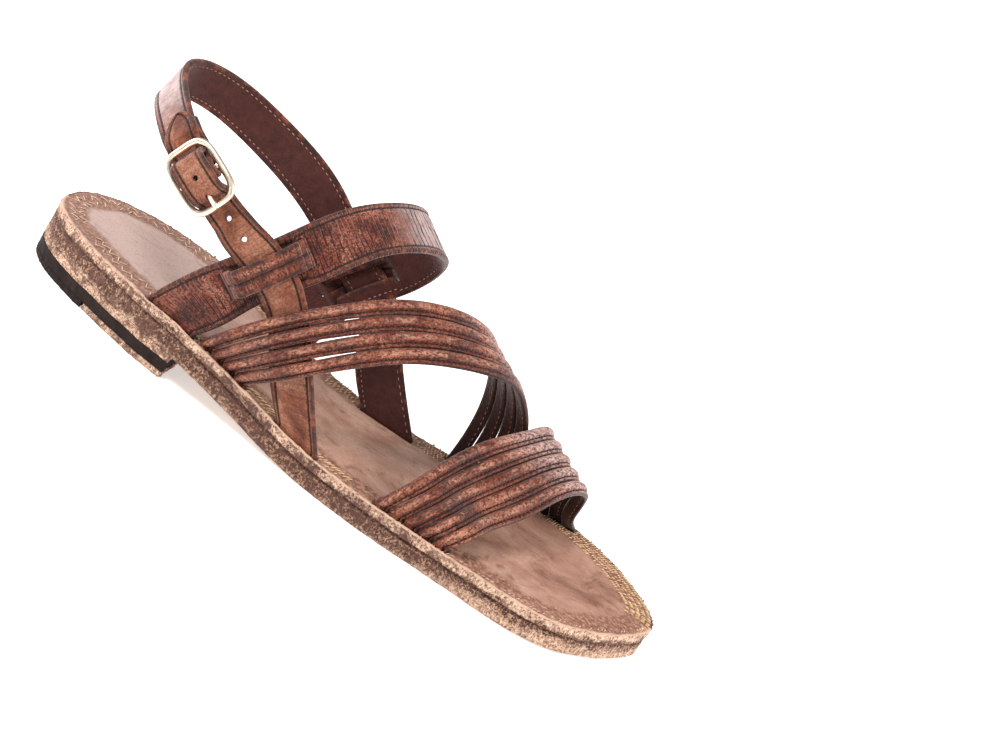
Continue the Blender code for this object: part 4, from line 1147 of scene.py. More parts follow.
def sole_part(node, top, bottom, finish, slot, span, count, side_of=plain_side):
    """One layer of the sole's stack with a rough cut side."""
    loop, inward, _ = outline_loop(*span, count)
    levels = [(top, FLAT_INSET, 0.9), (top, FLAT_INSET, 0.0), *side_of(top, bottom)]
    levels += [(bottom, 0.0012, 0.0), (bottom, FLAT_INSET, 0.0), (bottom, FLAT_INSET, 0.9)]
    rings = sole_rings(loop, inward, levels)
    inset = np.array([level[1] for level in levels])
    drop = (footbed(rings[..., 0]) - rings[..., 2]) * 1000
    side = (inset < 0.0009)[:, None] * np.ones(len(loop))
    rings[..., :2] += inward[None] * (side * (waves(rings, SOLE_RAGGED) + 0.0002))[..., None]
    under = (rings[..., 2] - bottom(rings[..., 0]) < 0.0004) * 1.0
    points, faces = closed_rings(rings)
    marks = {"drop": drop, "under": under * (inset[:, None] > 0.0003)}
    put_in("worn_" + node, points, faces, finish, marks, [node])


OUTSOLE_TOP = INSOLE_THICK + GAP
OUTSOLE_BOTTOM = OUTSOLE_TOP + OUTSOLE_THICK
RUBBER_BOTTOM = TOP_LIFT_THICK + GAP
RUBBER_TOP = RUBBER_BOTTOM + RUBBER_THICK
LOOP, INWARD, PERIMETER = outline_loop()
INNER_FROM = int(np.argmax(LOOP[:, 0]))
ROUND_EDGE = PERIMETER[-1] + PERIMETER[0]


def make_insole():
    """The insole: fine rings in its margin for the sewn rows and slots, wide ones inside."""
    top, bottom = under_footbed(0.0), under_footbed(INSOLE_THICK)
    levels = [(top, MARGIN, share) for share in MIDDLE_SHARES]
    levels += [(top, inset, 0.0) for inset in np.linspace(MARGIN, 0.0010, 19)]
    levels += side_levels(top, bottom, 8, 0.0007, 0.0002)
    levels += [(bottom, 0.0012, 0.0), (bottom, FLAT_INSET, 0.0), (bottom, FLAT_INSET, 0.9)]
    rings = sole_rings(LOOP, INWARD, levels)
    inset = np.array([level[1] for level in levels])[:, None] * np.ones(len(LOOP))
    inset[: len(MIDDLE_SHARES)] += np.array(MIDDLE_SHARES)[:, None] * 0.02
    drop = footbed(rings[..., 0]) - rings[..., 2]
    on_top = drop < 0.0008
    rings[..., 2] += on_top * insole_dents(rings, inset)
    side = np.clip(1 - inset / 0.0012, 0.0, 1.0)
    rings[..., :2] += INWARD[None] * (side * (waves(rings, INSOLE_RAGGED) + 0.0001))[..., None]
    points, faces = closed_rings(rings)
    # The slot mark carries the painted shade round each slot, on the top face only.
    slot = slot_nearness(rings) * on_top
    marks = {"run": rings[..., 0], "inset": inset * 1000, "drop": drop * 1000, "slot": slot}
    marks["inner"] = np.broadcast_to(np.arange(len(LOOP)) > INNER_FROM, inset.shape).astype(float)
    put_in("worn_insole", points, faces, INSOLE_FINISH, marks, ["insole"])


WHOLE_SPAN = (0.0, 1.0)
HEEL_SPAN = (0.0, HEEL_FRONT)
SPLIT_GAP = GAP / 2 / LENGTH
OUTSOLE = (under_footbed(INSOLE_THICK + SHUT_GAP), under_footbed(OUTSOLE_BOTTOM))
LEATHER_LIFT = (under_footbed(OUTSOLE_BOTTOM + SHUT_GAP), level_at(RUBBER_TOP + SHUT_GAP))
RUBBER_LAYER = (level_at(RUBBER_TOP), level_at(RUBBER_BOTTOM))
TOP_LIFT = (level_at(RUBBER_BOTTOM - SHUT_GAP), level_at(0.0))
REAR_SPAN = (0.0, LIFT_SPLIT - SPLIT_GAP)
FRONT_SPAN = (LIFT_SPLIT + SPLIT_GAP, HEEL_FRONT)

make_insole()
sole_part("outsole", *OUTSOLE, SOLE_FINISH, "cream_leather", WHOLE_SPAN, RING_POINTS, seamed_side)
sole_part("heel_lift", *LEATHER_LIFT, SOLE_FINISH, "heel_leather", HEEL_SPAN, 500)
sole_part("heel_rubber", *RUBBER_LAYER, RUBBER_FINISH, "black_rubber", HEEL_SPAN, 500)
sole_part("top_lift_rear", *TOP_LIFT, RUBBER_FINISH, "black_rubber", REAR_SPAN, 300)
sole_part("top_lift_front", *TOP_LIFT, SOLE_FINISH, "lift_leather", FRONT_SPAN, 400)


def on_insole(perimeter, inset, proud=0.0):
    """Points on the insole's margin at a distance round its edge and a distance in."""
    around = np.mod(perimeter, ROUND_EDGE)
    around = np.where(around < PERIMETER[0], around + ROUND_EDGE, around)
    marks = np.append(PERIMETER, ROUND_EDGE + PERIMETER[0])

    def there(pairs):
        closed = np.concatenate([pairs, pairs[:1]])
        return np.stack([np.interp(around, marks, closed[:, k]) for k in range(2)], axis=-1)

    flat = there(LOOP) + np.asarray(inset)[..., None] * there(INWARD)
    points = np.column_stack([flat, footbed(flat[:, 0])])
    points[:, 2] += insole_dents(points, np.broadcast_to(inset, len(points))) + proud
    return points


def sewn_row(draw, row, zone):
    """Starts, ends and widths of one row's stitches where the zone holds. It is asked with
    each one's share of the sole's length and with whether it lies at the inner side."""
    inset, pitch, slant, reach, width, kept, zigzag = row
    at = np.arange(0.0, ROUND_EDGE, pitch)
    at = at + draw.uniform(-0.12, 0.12, len(at)) * pitch
    share = on_insole(at, inset)[:, 0] / LENGTH
    shown = zone(share, at > ROUND_EDGE / 2) & (draw.uniform(size=len(at)) < kept)
    turn = np.where(np.arange(len(at)) % 2, 1.0, -1.0) if zigzag else np.ones(len(at))
    at, turn = at[shown], turn[shown]
    long = reach * draw.uniform(0.8, 1.15, len(at))
    lean = slant * turn + draw.uniform(-0.0002, 0.0002, len(at))
    start = on_insole(at - lean, inset - long, 0.00010)
    end = on_insole(at + lean, inset + long, 0.00010)
    return start, end, width * draw.uniform(0.8, 1.15, len(at))


GOLD_ZONES = (
    (TOE_ROWS_SEWN, lambda share, inner: inner & (share > 0.60) | (share > 0.985)),
    (INNER_WAIST_SEWN, lambda share, inner: inner & (share > 0.22) & (share <= 0.60)),
    (OUTER_WAIST_SEWN, lambda share, inner: ~inner & (share > 0.24) & (share < 0.56)),
)
WORN_ZONES = (
    (HEEL_SEWN, lambda share, inner: share < 0.30),
    (OUTER_TOES_SEWN, lambda share, inner: ~inner & (share > 0.60)),
)


def sew_margin():
    """Gold thread round the insole's margin: five close rows of short rungs at the inner side
    of the toes and slanted rope stitches along the waist. Worn thread: wide zigzags at the
    heel, and a few stitches near the edge at the outer toes."""
    draw = np.random.default_rng(31)
    for name, zones, finish in (
        ("margin_stitches", GOLD_ZONES, GOLD_THREAD),
        ("worn_stitches", WORN_ZONES, WORN_THREAD),
    ):
        rows = [sewn_row(draw, row, zone) for table, zone in zones for row in table]
        start, end, width = (np.concatenate(part) for part in zip(*rows))
        up = np.tile([0.0, 0.0, 1.0], (len(start), 1))
        points, faces = small_bars(start, end, up, width, width * 0.8, 0.00024)
        put_in(name, points, faces, finish)


def fray_edge():
    """Short fibres standing out of the insole's cut top edge, thickest on the inner side."""
    draw = np.random.default_rng(47)
    at = draw.uniform(0.0, ROUND_EDGE, FIBRES)
    at = at[(at > ROUND_EDGE / 2) | (draw.uniform(size=FIBRES) < 0.5)]
    count = len(at)
    start = on_insole(at, draw.uniform(0.0, 0.0007, count), -0.0004)
    length = draw.uniform(0.0002, 0.0009, count)
    drift = draw.uniform(-0.0012, 0.0012, count)
    end = on_insole(at + drift, -length * 0.7, 0.0)
    end[:, 2] = start[:, 2] + draw.uniform(-0.0004, 0.0008, count)
    way = np.tile([0.0, 0.0, 1.0], (count, 1))
    width = draw.uniform(0.00015, 0.0005, count)
    points, faces = small_bars(start, end, way, width, width * 0.5, 0.0002)
    put_in("edge_fibres", points, faces, FRAY_FINISH)


sew_margin()
fray_edge()


# Straps


def columns_between(stops, step):
    """Columns from stop to stop, closer together beside each stop."""
    columns = []
    for low, high in zip(stops[:-1], stops[1:]):
        count = max(6, int(round((high - low) / step)))
        even = np.linspace(0.0, 1.0, count + 1)
        eased = 0.62 * even + 0.38 * (1 - np.cos(pi * even)) / 2
        columns.append(low + (high - low) * eased)
    return columns


def doubled(values):
    """The same marks for the upper and the lower face."""
    return np.concatenate([values.ravel(), values.ravel()])


def strip(name, node, finish, path, shares, face_out, options):
    """A strap as a strip with two faces along a path of rows. `face_out` is 1 where the rows'
    outward side is the strap's good face, -1 where it is the lining. The options are `run`,
    `lift` (how far points stand off the path), `spread` (how far they move across it), `laid`
    (a function that moves the middle surface), `open_cells`, `slit_rim` (distance to a slit,
    large where it is closed), `creases`, `holes` (run, span, half length, half width) and
    `box_seams`. Returns what the sewing needs."""
    run = options["run"]
    across = path[:, 3:]
    width = np.linalg.norm(across, axis=1)
    span = shares[None, :] * width[:, None]
    middle = path[:, None, :3] + across[:, None, :] * shares[None, :, None]
    laid = options.get("laid")
    if laid is not None:
        middle = laid(middle)
        ruling = np.gradient(middle, axis=1)
    else:
        ruling = np.broadcast_to(across[:, None, :], middle.shape)
    normal = unit(np.cross(ruling, np.gradient(middle, axis=0)))
    if "spread" in options:
        middle = middle + unit(ruling) * options["spread"][..., None]
    if "lift" in options:
        middle = middle + normal * options["lift"][..., None]
        normal = unit(np.cross(ruling, np.gradient(middle, axis=0)))
    normal = normal * face_out
    slope = np.gradient(width / 2, run)
    rim = (0.5 - np.abs(shares))[None, :] * width[:, None]
    rim = rim / np.sqrt(1 + (slope[:, None] * 2 * np.abs(shares)[None, :]) ** 2)
    kept = np.ones((len(run) - 1, len(shares) - 1), bool)
    if "open_cells" in options:
        kept &= ~options["open_cells"]
    along = np.broadcast_to(run[:, None], span.shape).copy()
    for at, beside, half_length, half_width in options.get("holes", ()):
        off_run, off_span = (along - at) / half_length, (span - beside) / half_width
        from_middle = np.sqrt(off_run**2 + off_span**2)
        corners = from_middle[:-1] + from_middle[1:]
        inside = (corners[:, :-1] + corners[:, 1:]) / 4 < 1.0
        kept &= ~inside
        touched = np.zeros(span.shape, bool)
        outside = np.zeros(span.shape, bool)
        for i, j in ((0, 0), (1, 0), (1, 1), (0, 1)):
            rows, columns = slice(i, len(run) - 1 + i), slice(j, len(shares) - 1 + j)
            touched[rows, columns] |= inside
            outside[rows, columns] |= ~inside
        moved = touched & outside
        pull = np.where(moved, 1 / np.maximum(from_middle, 0.3) - 1, 0.0)
        onward = unit(np.gradient(middle, axis=0))
        sideways = unit(ruling)
        middle = middle + onward * (pull * (along - at))[..., None]
        middle = middle + sideways * (pull * (span - beside))[..., None]
    slit_rim = options.get("slit_rim", np.full(span.shape, 1.0))
    near_edge = np.minimum(rim, slit_rim)
    seam = bell(rim - GROOVE_IN, GROOVE_HALF)
    for at, half in options.get("box_seams", ()):
        within = 1 - smoothstep((span - half[1]) / 0.0004)
        within = within * (1 - smoothstep((half[0] - span) / 0.0004))
        seam = np.maximum(seam, bell(along - at, GROOVE_HALF) * within)
    deep = creases(along, span, options.get("creases", ()))
    inside_seams = smoothstep((rim - GROOVE_IN - 0.0006) / 0.001)
    low_relief = waves(np.stack([along, span], axis=-1), STRAP_WAVES) * inside_seams
    half_wall = STRAP_WALL / 2
    fall = rounding(near_edge, EDGE_ROUND)
    crown = 0.00010 * bell(rim - GROOVE_IN / 2, EDGE_ROUND)
    up = half_wall - fall - GROOVE_DEPTH * seam - deep * inside_seams + low_relief + crown
    down = half_wall - fall - 0.00012 * seam
    points, faces = two_faces(middle, normal, up, down, kept)
    marks = {
        "run": doubled(along),
        "span": doubled(span),
        "rim": doubled(near_edge) * 1000,
        "seam": np.concatenate([seam.ravel(), 0.25 * seam.ravel()]),
        "face": np.concatenate([np.ones(span.size), np.zeros(span.size)]),
    }
    put_in(name, points, faces, finish, marks, [node])
    return {
        "run": run,
        "shares": shares,
        "width": width,
        "outer": middle + normal * (half_wall - fall - GROOVE_DEPTH * seam)[..., None],
        "inner": middle - normal * (half_wall - fall)[..., None],
        "normal": normal,
    }


def spot(strap, side, run, share):
    """Points on one face of a strap and its outward normals, between its rows and columns."""
    face = strap["outer"] if side > 0 else strap["inner"]
    row = np.interp(run, strap["run"], np.arange(len(strap["run"])))
    column = np.interp(share, strap["shares"], np.arange(len(strap["shares"])))
    i = np.clip(row.astype(int), 0, len(strap["run"]) - 2)
    j = np.clip(column.astype(int), 0, len(strap["shares"]) - 2)
    r, c = (row - i)[:, None], (column - j)[:, None]

    def mixed(grid):
        low = grid[i, j] * (1 - c) + grid[i, j + 1] * c
        high = grid[i + 1, j] * (1 - c) + grid[i + 1, j + 1] * c
        return low * (1 - r) + high * r

    return mixed(face), unit(mixed(strap["normal"])) * side


def seam_bars(strap, side, last, pitch, length):
    """Starts, ends and normals of the stitches along both edges of a strap."""
    starts, ends, normals = [], [], []
    for way in (-1, 1):
        at = np.arange(SEWN_FROM, last, pitch)
        for_end = []
        for shift in (-length / 2, length / 2):
            run = at + shift
            width = np.interp(run, strap["run"], strap["width"])
            share = way * np.clip(0.5 - GROOVE_IN / width, 0.0, 0.5)
            for_end.append(spot(strap, side, run, share))
        starts.append(for_end[0][0])
        ends.append(for_end[1][0])
        normals.append(unit(for_end[0][1] + for_end[1][1]))
    return starts, ends, normals


def sew(name, finish, parts, thick=THREAD):
    """One piece from the stitches of several seams."""
    start, end, out = (np.concatenate(sum((part[k] for part in parts), [])) for k in range(3))
    points, faces = small_bars(start, end, out, thick, thick * 0.9, STITCH_BOW)
    put_in(name, points, faces, finish)


def sew_edges(name, strap, last, last_lining, more=()):
    """The stitches along both edges of a strap: dark ones on its good face and smaller pale
    ones on its lining."""
    dark = seam_bars(strap, 1, last, STITCH_PITCH, STITCH_LENGTH)
    pale = seam_bars(strap, -1, last_lining, LINING_PITCH, LINING_STITCH)
    sew(name + "_stitches", DARK_THREAD, [dark, *more])
    sew(name + "_lining_stitches", PALE_THREAD, [pale])


# Ankle band

BAND = np.vstack(
    [slot_row("band_outer"), rows_of(BAND_ROWS, BAND_RISE, BAND_WIDTH), slot_row("band_inner")]
)
CROSSINGS = (BILLET_CROSSING, SLING_CROSSING)
WEAVES = [distance_at_row(BAND, sum(crossing) / 2) for crossing in CROSSINGS]
BELOW_SLOT = np.linspace(1.0, 0.0, 5)[:-1] * (INSOLE_THICK + GAP)


def make_band():
    """The band, slit three times at each weave, with its two middle strips raised."""
    whole = distance_at_row(BAND, len(BAND) - 1)
    distance = np.linspace(0.0, whole, 430)
    ends = np.array([middle + side * STRIP_HALF for middle in WEAVES for side in (-1, 1)])
    nearest = np.abs(distance[:, None] - ends[None]).argmin(axis=0)
    distance[nearest] = ends
    path = curve_through(BAND, row_at_distance(BAND, distance))
    path = np.vstack([sunk(path[0]), path, sunk(path[-1])[::-1]])
    run = np.concatenate([-BELOW_SLOT, distance, whole + BELOW_SLOT[::-1]])
    half_slit = SLIT_WIDTH / 2 / BAND_WIDTH
    stops = [-0.5]
    for slit in SLITS:
        stops += [slit - half_slit, slit + half_slit]
    stops.append(0.5)
    lanes = [columns_between(stops[k : k + 2], BAND_STEP / BAND_WIDTH)[0] for k in (0, 2, 4, 6)]
    shares = np.concatenate(lanes)
    lane = np.concatenate([np.full(len(columns), k) for k, columns in enumerate(lanes)])
    away = np.abs(run[:, None] - np.array(WEAVES)[None]).min(axis=1)
    raised = 1 - smoothstep((away - STRIP_FLAT) / (STRIP_HALF - STRIP_FLAT))
    is_strip = (lane == 1) | (lane == 2)
    lift = 2 * STRAP_LIFT * raised[:, None] * is_strip[None, :]
    opened = away < STRIP_HALF - 1e-6
    cells = opened[:-1] | opened[1:]
    at_slit = lane[1:] != lane[:-1]
    open_cells = cells[:, None] & at_slit[None, :]
    low = np.array([lane_columns[0] for lane_columns in lanes])[lane]
    high = np.array([lane_columns[-1] for lane_columns in lanes])[lane]
    low_gap = np.where(lane > 0, shares - low, 1.0)
    high_gap = np.where(lane < 3, high - shares, 1.0)
    slit_rim = np.minimum(low_gap, high_gap)[None, :] * BAND_WIDTH
    closing = 0.004 * smoothstep((away - STRIP_HALF + SLIT_CLOSES) / SLIT_CLOSES)
    slit_rim = slit_rim + closing[:, None]
    slit_rim = np.where(opened[:, None], slit_rim, 1.0)
    box = (SLITS[0] * BAND_WIDTH, SLITS[-1] * BAND_WIDTH)
    past = STRIP_HALF + BOX_SEAM_PAST
    seams = [(middle + side * past, box) for middle in WEAVES for side in (-1, 1)]
    place_in_lane = (shares - low) / (high - low)
    height = lift.max(axis=1)
    reach_under = REACH_UNDER * smoothstep((height - STRAP_WALL) / 0.0018)
    touching = np.where(opened, SLIT_WIDTH / 2 + 0.00006, 0.0)
    touching, reach_under = touching[:, None], reach_under[:, None]
    to_low = touching * (lane > 0)[None, :] + reach_under * (lane == 3)[None, :]
    to_high = touching * (lane < 3)[None, :] + reach_under * (lane == 0)[None, :]
    spread = to_high * place_in_lane[None, :] - to_low * (1 - place_in_lane)[None, :]
    options = {
        "run": run,
        "spread": spread,
        "lift": lift,
        "open_cells": open_cells,
        "slit_rim": slit_rim,
        "creases": BAND_CREASES,
        "box_seams": seams,
    }
    made = strip("ankle_band", "instep_band", BAND_FINISH, path, shares, 1, options)
    return made, whole


def box_stitches(strap):
    """Stitches across the band at both ends of each weave."""
    starts, ends, normals = [], [], []
    spans = np.arange(SLITS[0] * BAND_WIDTH + 0.001, SLITS[-1] * BAND_WIDTH - 0.0006, 0.0018)
    for middle in WEAVES:
        for side in (-1, 1):
            run = np.full(len(spans), middle + side * (STRIP_HALF + BOX_SEAM_PAST))
            start, out = spot(strap, 1, run, (spans - 0.0006) / BAND_WIDTH)
            end, _ = spot(strap, 1, run, (spans + 0.0006) / BAND_WIDTH)
            starts.append(start)
            ends.append(end)
            normals.append(out)
    return starts, ends, normals


band, BAND_LENGTH = make_band()
BAND_SEWN = BAND_LENGTH - 0.001
sew_edges("band", band, BAND_SEWN, BAND_SEWN, [box_stitches(band)])


def on_band(where, share):
    """A point of a strap laid on the band, and the band's outward direction there."""
    near = curve_through(BAND, np.array([where - 0.02, where, where + 0.02]))
    _, across, out = frames(near)
    return near[1, :3] + across[1] * share + out[1] * STRAP_LIFT, out[1]


def crossing_rows(crossing, width):
    """Two rows of a strap where it crosses the band's front edge and then its rear edge."""
    rear, front = crossing
    front_point, front_out = on_band(front, 0.5)
    rear_point, rear_out = on_band(rear, -0.5)
    run = unit(rear_point - front_point)
    rows = []
    for point, out in ((front_point, front_out), (rear_point, rear_out)):
        across = unit(np.cross(out, run))
        rows.append([*point, *(across * np.sign(across[2]) * width)])
    return rows


def laid_on_band(crossing):
    """Moves the points of a strap near a crossing to its height over the band, fading out
    beside the band and above it."""
    middle_row = sum(crossing) / 2
    first, last = max(middle_row - 1.6, 0), min(middle_row + 1.6, len(BAND) - 1)
    fine = curve_through(BAND, np.linspace(first, last, 130))
    _, across, out = frames(fine)
    widths = np.linalg.norm(across, axis=1)
    centre = curve_through(BAND, np.array([middle_row]))[0, :3]

    def laid(points):
        flat = points.reshape(-1, 3).copy()
        close = np.linalg.norm(flat - centre, axis=1) < 0.030
        some = flat[close]
        to_line = some[:, None, :] - fine[None, :, :3]
        share = np.einsum("pki,ki->pk", to_line, across) / widths**2
        off_line = to_line - share[:, :, None] * across[None]
        miss = np.linalg.norm(off_line, axis=2) + ACROSS_COUNTS * np.abs(share) * widths
        nearest = np.argmin(miss, axis=1)
        pick = np.arange(len(some))
        height = np.einsum("pi,pi->p", to_line[pick, nearest], out[nearest])
        weight = 1 - smoothstep((np.abs(share[pick, nearest]) - LAID_WITHIN) / LAID_FADE)
        walls_off = np.abs(height - STRAP_LIFT) / STRAP_WALL
        far = (walls_off - LAID_REACH[0]) / (LAID_REACH[1] - LAID_REACH[0])
        weight = weight * (1 - smoothstep(far))
        flat[close] = some + out[nearest] * ((STRAP_LIFT - height) * weight)[:, None]
        return flat.reshape(points.shape)

    return laid


# Buckle frame of reference: u along the strap towards the heel, w up its width, n outward

BUCKLE_AT = np.array([BUCKLE_ALONG * LENGTH, BUCKLE_ACROSS * BALL_WIDTH, BUCKLE_HEIGHT])
BUCKLE_W = unit(BUCKLE_WIDTH_DIRECTION)
toward_toe = np.array(BUCKLE_LENGTH_DIRECTION)
BUCKLE_U = -unit(toward_toe - BUCKLE_W * (toward_toe @ BUCKLE_W))
BUCKLE_N = np.cross(BUCKLE_W, BUCKLE_U)


def at_buckle(u, w, n):
    return BUCKLE_AT + u * BUCKLE_U + w * BUCKLE_W + n * BUCKLE_N


def turn_about(centre_u, radius, start, end, steps):
    """Points (u, n) round a bar of the buckle; angles are from +u towards +n."""
    angles = np.linspace(start, end, steps)
    return [(centre_u + radius * cos(angle), radius * sin(angle)) for angle in angles]


def past_tangent(radius, angle, run):
    """The point (u, n) a run beyond where a turn about the centre bar ends."""
    u = radius * cos(angle) - run * sin(angle)
    return (u, radius * sin(angle) + run * cos(angle))


HALF_LENGTH = BUCKLE_LENGTH / 2
WRAP_RADIUS = CENTRE_BAR + GAP + STRAP_WALL / 2
OVER_WRAP = WRAP_RADIUS + STRAP_WALL + GAP
UNDER_BAR = FRAME_WIRE + BUCKLE_CLEARANCE + STRAP_WALL / 2
SLING_UNDER_BAR = UNDER_BAR + STRAP_WALL + BUCKLE_CLEARANCE
FLAP_UNDER_BAR = SLING_UNDER_BAR + STRAP_WALL + GAP
STEEP = pi / 2 - asin((OVER_WRAP + UNDER_BAR) / HALF_LENGTH)
FLAP_SLOPE = asin((FLAP_UNDER_BAR - WRAP_RADIUS) / HALF_LENGTH)
PRONG_RADIUS = CENTRE_BAR + GAP / 2 + PRONG_WIRE
PRONG_REST = FRAME_WIRE + GAP + PRONG_WIRE


def buckle_rows(points, width):
    return [[*at_buckle(u, 0.0, n), *(BUCKLE_W * width)] for u, n in points]


def make_billet():
    """The billet from its slot, over the band, through the buckle, to its rounded tip."""
    crossing = crossing_rows(BILLET_CROSSING, BILLET_WIDTH)
    before = turn_about(-HALF_LENGTH, UNDER_BAR, 1.5 * pi, 2 * pi, 3)
    over = [(share * HALF_LENGTH, rise * OVER_WRAP) for share, rise in BILLET_ARCH]
    after = turn_about(HALF_LENGTH, UNDER_BAR, pi, 1.5 * pi, 3)
    inside = buckle_rows(before + over + after, BILLET_END_WIDTH)
    free = [
        [*at_buckle(*(HALF_LENGTH * np.array(place))), *(BUCKLE_W * BILLET_END_WIDTH)]
        for place in BILLET_FREE_END
    ]
    strap = rows_of(BILLET_ROWS, BILLET_RISE, BILLET_WIDTH)
    rows = np.vstack([slot_row("billet"), strap, crossing, inside, free])
    front_bar = len(BILLET_ROWS) + 3
    whole = distance_at_row(rows, len(rows) - 1)
    tip = whole - TIP_LENGTH * (1 - np.sin(np.linspace(0.0, pi / 2, 40)))
    distance = np.concatenate([np.linspace(0.0, whole - TIP_LENGTH, STRAP_ROWS)[:-1], tip])
    path = curve_through(rows, row_at_distance(rows, distance))
    left = np.clip((whole - distance) / TIP_LENGTH, 0.0, 1.0)
    fullness = (1 - (1 - left) ** 2) ** TIP_FULLNESS
    path[:, 3:] *= (TIP_POINT + (1 - TIP_POINT) * fullness)[:, None]
    path = np.vstack([sunk(path[0]), path])
    run = np.concatenate([-BELOW_SLOT, distance])
    bar = distance_at_row(rows, front_bar)
    rising = np.linspace(front_bar + 2, front_bar + 5, 60)
    height = (curve_through(rows, rising)[:, :3] - BUCKLE_AT) @ BUCKLE_N
    prong = distance_at_row(rows, np.interp(PRONG_RADIUS, height, rising))
    places = [bar - below * BUCKLE_LENGTH for below in HOLES_BELOW_BAR]
    places += [prong + past * BUCKLE_LENGTH for past in HOLES_PAST_PRONG]
    holes = [(place, 0.0, HOLE_RADIUS, HOLE_RADIUS) for place in places]
    holes.append((prong, 0.0, PRONG_HOLE_HALF, PRONG_WIRE + SLOT_CLEARANCE))
    shares = columns_between((-0.5, 0.0, 0.5), BILLET_STEP / BILLET_WIDTH)
    shares = np.concatenate([shares[0], shares[1][1:]])
    options = {
        "run": run,
        "laid": laid_on_band(BILLET_CROSSING),
        "holes": holes,
        "creases": BILLET_CREASES,
    }
    made = strip("billet", "billet_strap", BILLET_FINISH, path, shares, 1, options)
    return made, whole


billet, BILLET_END = make_billet()
sew_edges("billet", billet, BILLET_END - 0.003, BILLET_END - 0.004)


def make_sling():
    """The sling from its slot, over the band, round the heel, and about the centre bar, where
    it is slotted for the prong, to the flap behind it."""
    crossing = crossing_rows(SLING_CROSSING, SLING_WIDTH * SLING_NARROWED)
    near = rows_of(SLING_ROWS, SLING_RISE, SLING_WIDTH)
    heel = rows_of(SLING_HEEL_ROWS, SLING_RISE, SLING_WIDTH)
    coming = turn_about(HALF_LENGTH, SLING_UNDER_BAR, 1.5 * pi, pi + STEEP, 2)
    from_heel = [(u * HALF_LENGTH, n * HALF_LENGTH) for u, n in SLING_APPROACH]
    approach = buckle_rows(from_heel + coming, SLING_END_WIDTH)
    main = np.vstack([slot_row("sling"), near, crossing, heel, approach])
    whole = distance_at_row(main, len(main) - 1)
    distance = np.linspace(0.0, whole, STRAP_ROWS)
    main_path = curve_through(main, row_at_distance(main, distance))
    wrap_end = 1.5 * pi - FLAP_SLOPE
    wrap = turn_about(0.0, WRAP_RADIUS, STEEP, wrap_end, 26)
    wrap.insert(0, past_tangent(WRAP_RADIUS, STEEP, -PRONG_SLOT))
    wrap.append(past_tangent(WRAP_RADIUS, wrap_end, PRONG_SLOT))
    going = turn_about(HALF_LENGTH, FLAP_UNDER_BAR, wrap_end, 1.5 * pi, 8)
    under = FLAP_UNDER * (STRAP_WALL + GAP)
    flap = [(u * HALF_LENGTH, n * HALF_LENGTH - under) for u, n in FLAP_END]
    ending = np.array(buckle_rows(wrap + going + flap, SLING_END_WIDTH))
    corners = np.vstack([main_path[-1:], ending])
    corner_run = whole + run_of(corners)
    path = np.vstack([sunk(main_path[0]), main_path, even_run(corners, 0.0004)[1:]])
    run = run_of(path)
    run = run - run[4]
    slot_from = corner_run[1] + run[4 + len(main_path) - 1] - whole
    slot_to = slot_from + corner_run[len(wrap)] - corner_run[1]
    half_slot = (PRONG_WIRE + SLOT_CLEARANCE) / SLING_END_WIDTH
    lanes = columns_between((-0.5, -half_slot, half_slot, 0.5), SLING_STEP / SLING_WIDTH)
    shares = np.concatenate([lanes[0], lanes[1][1:], lanes[2][1:]])
    in_slot = (run[:-1] > slot_from) & (run[1:] < slot_to)
    between = (shares[:-1] > -half_slot - 1e-6) & (shares[1:] < half_slot + 1e-6)
    options = {
        "run": run,
        "laid": laid_on_band(SLING_CROSSING),
        "open_cells": in_slot[:, None] & between[None, :],
        "creases": SLING_CREASES,
    }
    made = strip("sling", "heel_sling", SLING_FINISH, path, shares, -1, options)
    return made, slot_from


sling, SLING_SLOT = make_sling()
sew_edges("sling", sling, SLING_SLOT - 0.003, SLING_SLOT - 0.003)


# Cords


def cord_skin(count=30):
    """The cord's section as evenly spaced points of a smooth closed curve."""
    table = np.array(CORD_SECTION)
    loop = np.column_stack([table * [CORD_PITCH, CORD_THICK], 0 * table[:, 0]])
    loop = np.concatenate([loop[-3:], loop, loop[:4]])
    fine = curve_through(loop, np.linspace(3, 3 + len(table), 900))[:-1, :2]
    run = np.concatenate([[0.0], np.cumsum(np.linalg.norm(np.diff(fine, axis=0), axis=1))])
    even = np.linspace(0.0, run[-1], count + 1)[:-1]
    points = np.stack([np.interp(even, run, fine[:, k]) for k in range(2)], axis=1)
    groove = np.argmin(np.linalg.norm(points - [CORD_GROOVE * CORD_PITCH, 0.0], axis=1))
    points[groove] = (CORD_GROOVE * CORD_PITCH, 0.0)
    return points / [CORD_PITCH, CORD_THICK], even


# Both seams of a cord: the end of the piece's name, height over the cord's middle as a share
# of its thickness, pitch, side of the cord, thickness of the thread and its material

CORD_SEAMS = (
    ("_cord_stitches", 0.11, STITCH_PITCH, 1.0, 0.00064, DARK_THREAD),
    ("_cord_lining_stitches", -0.46, LINING_PITCH, -1.0, 0.00030, PALE_THREAD),
)


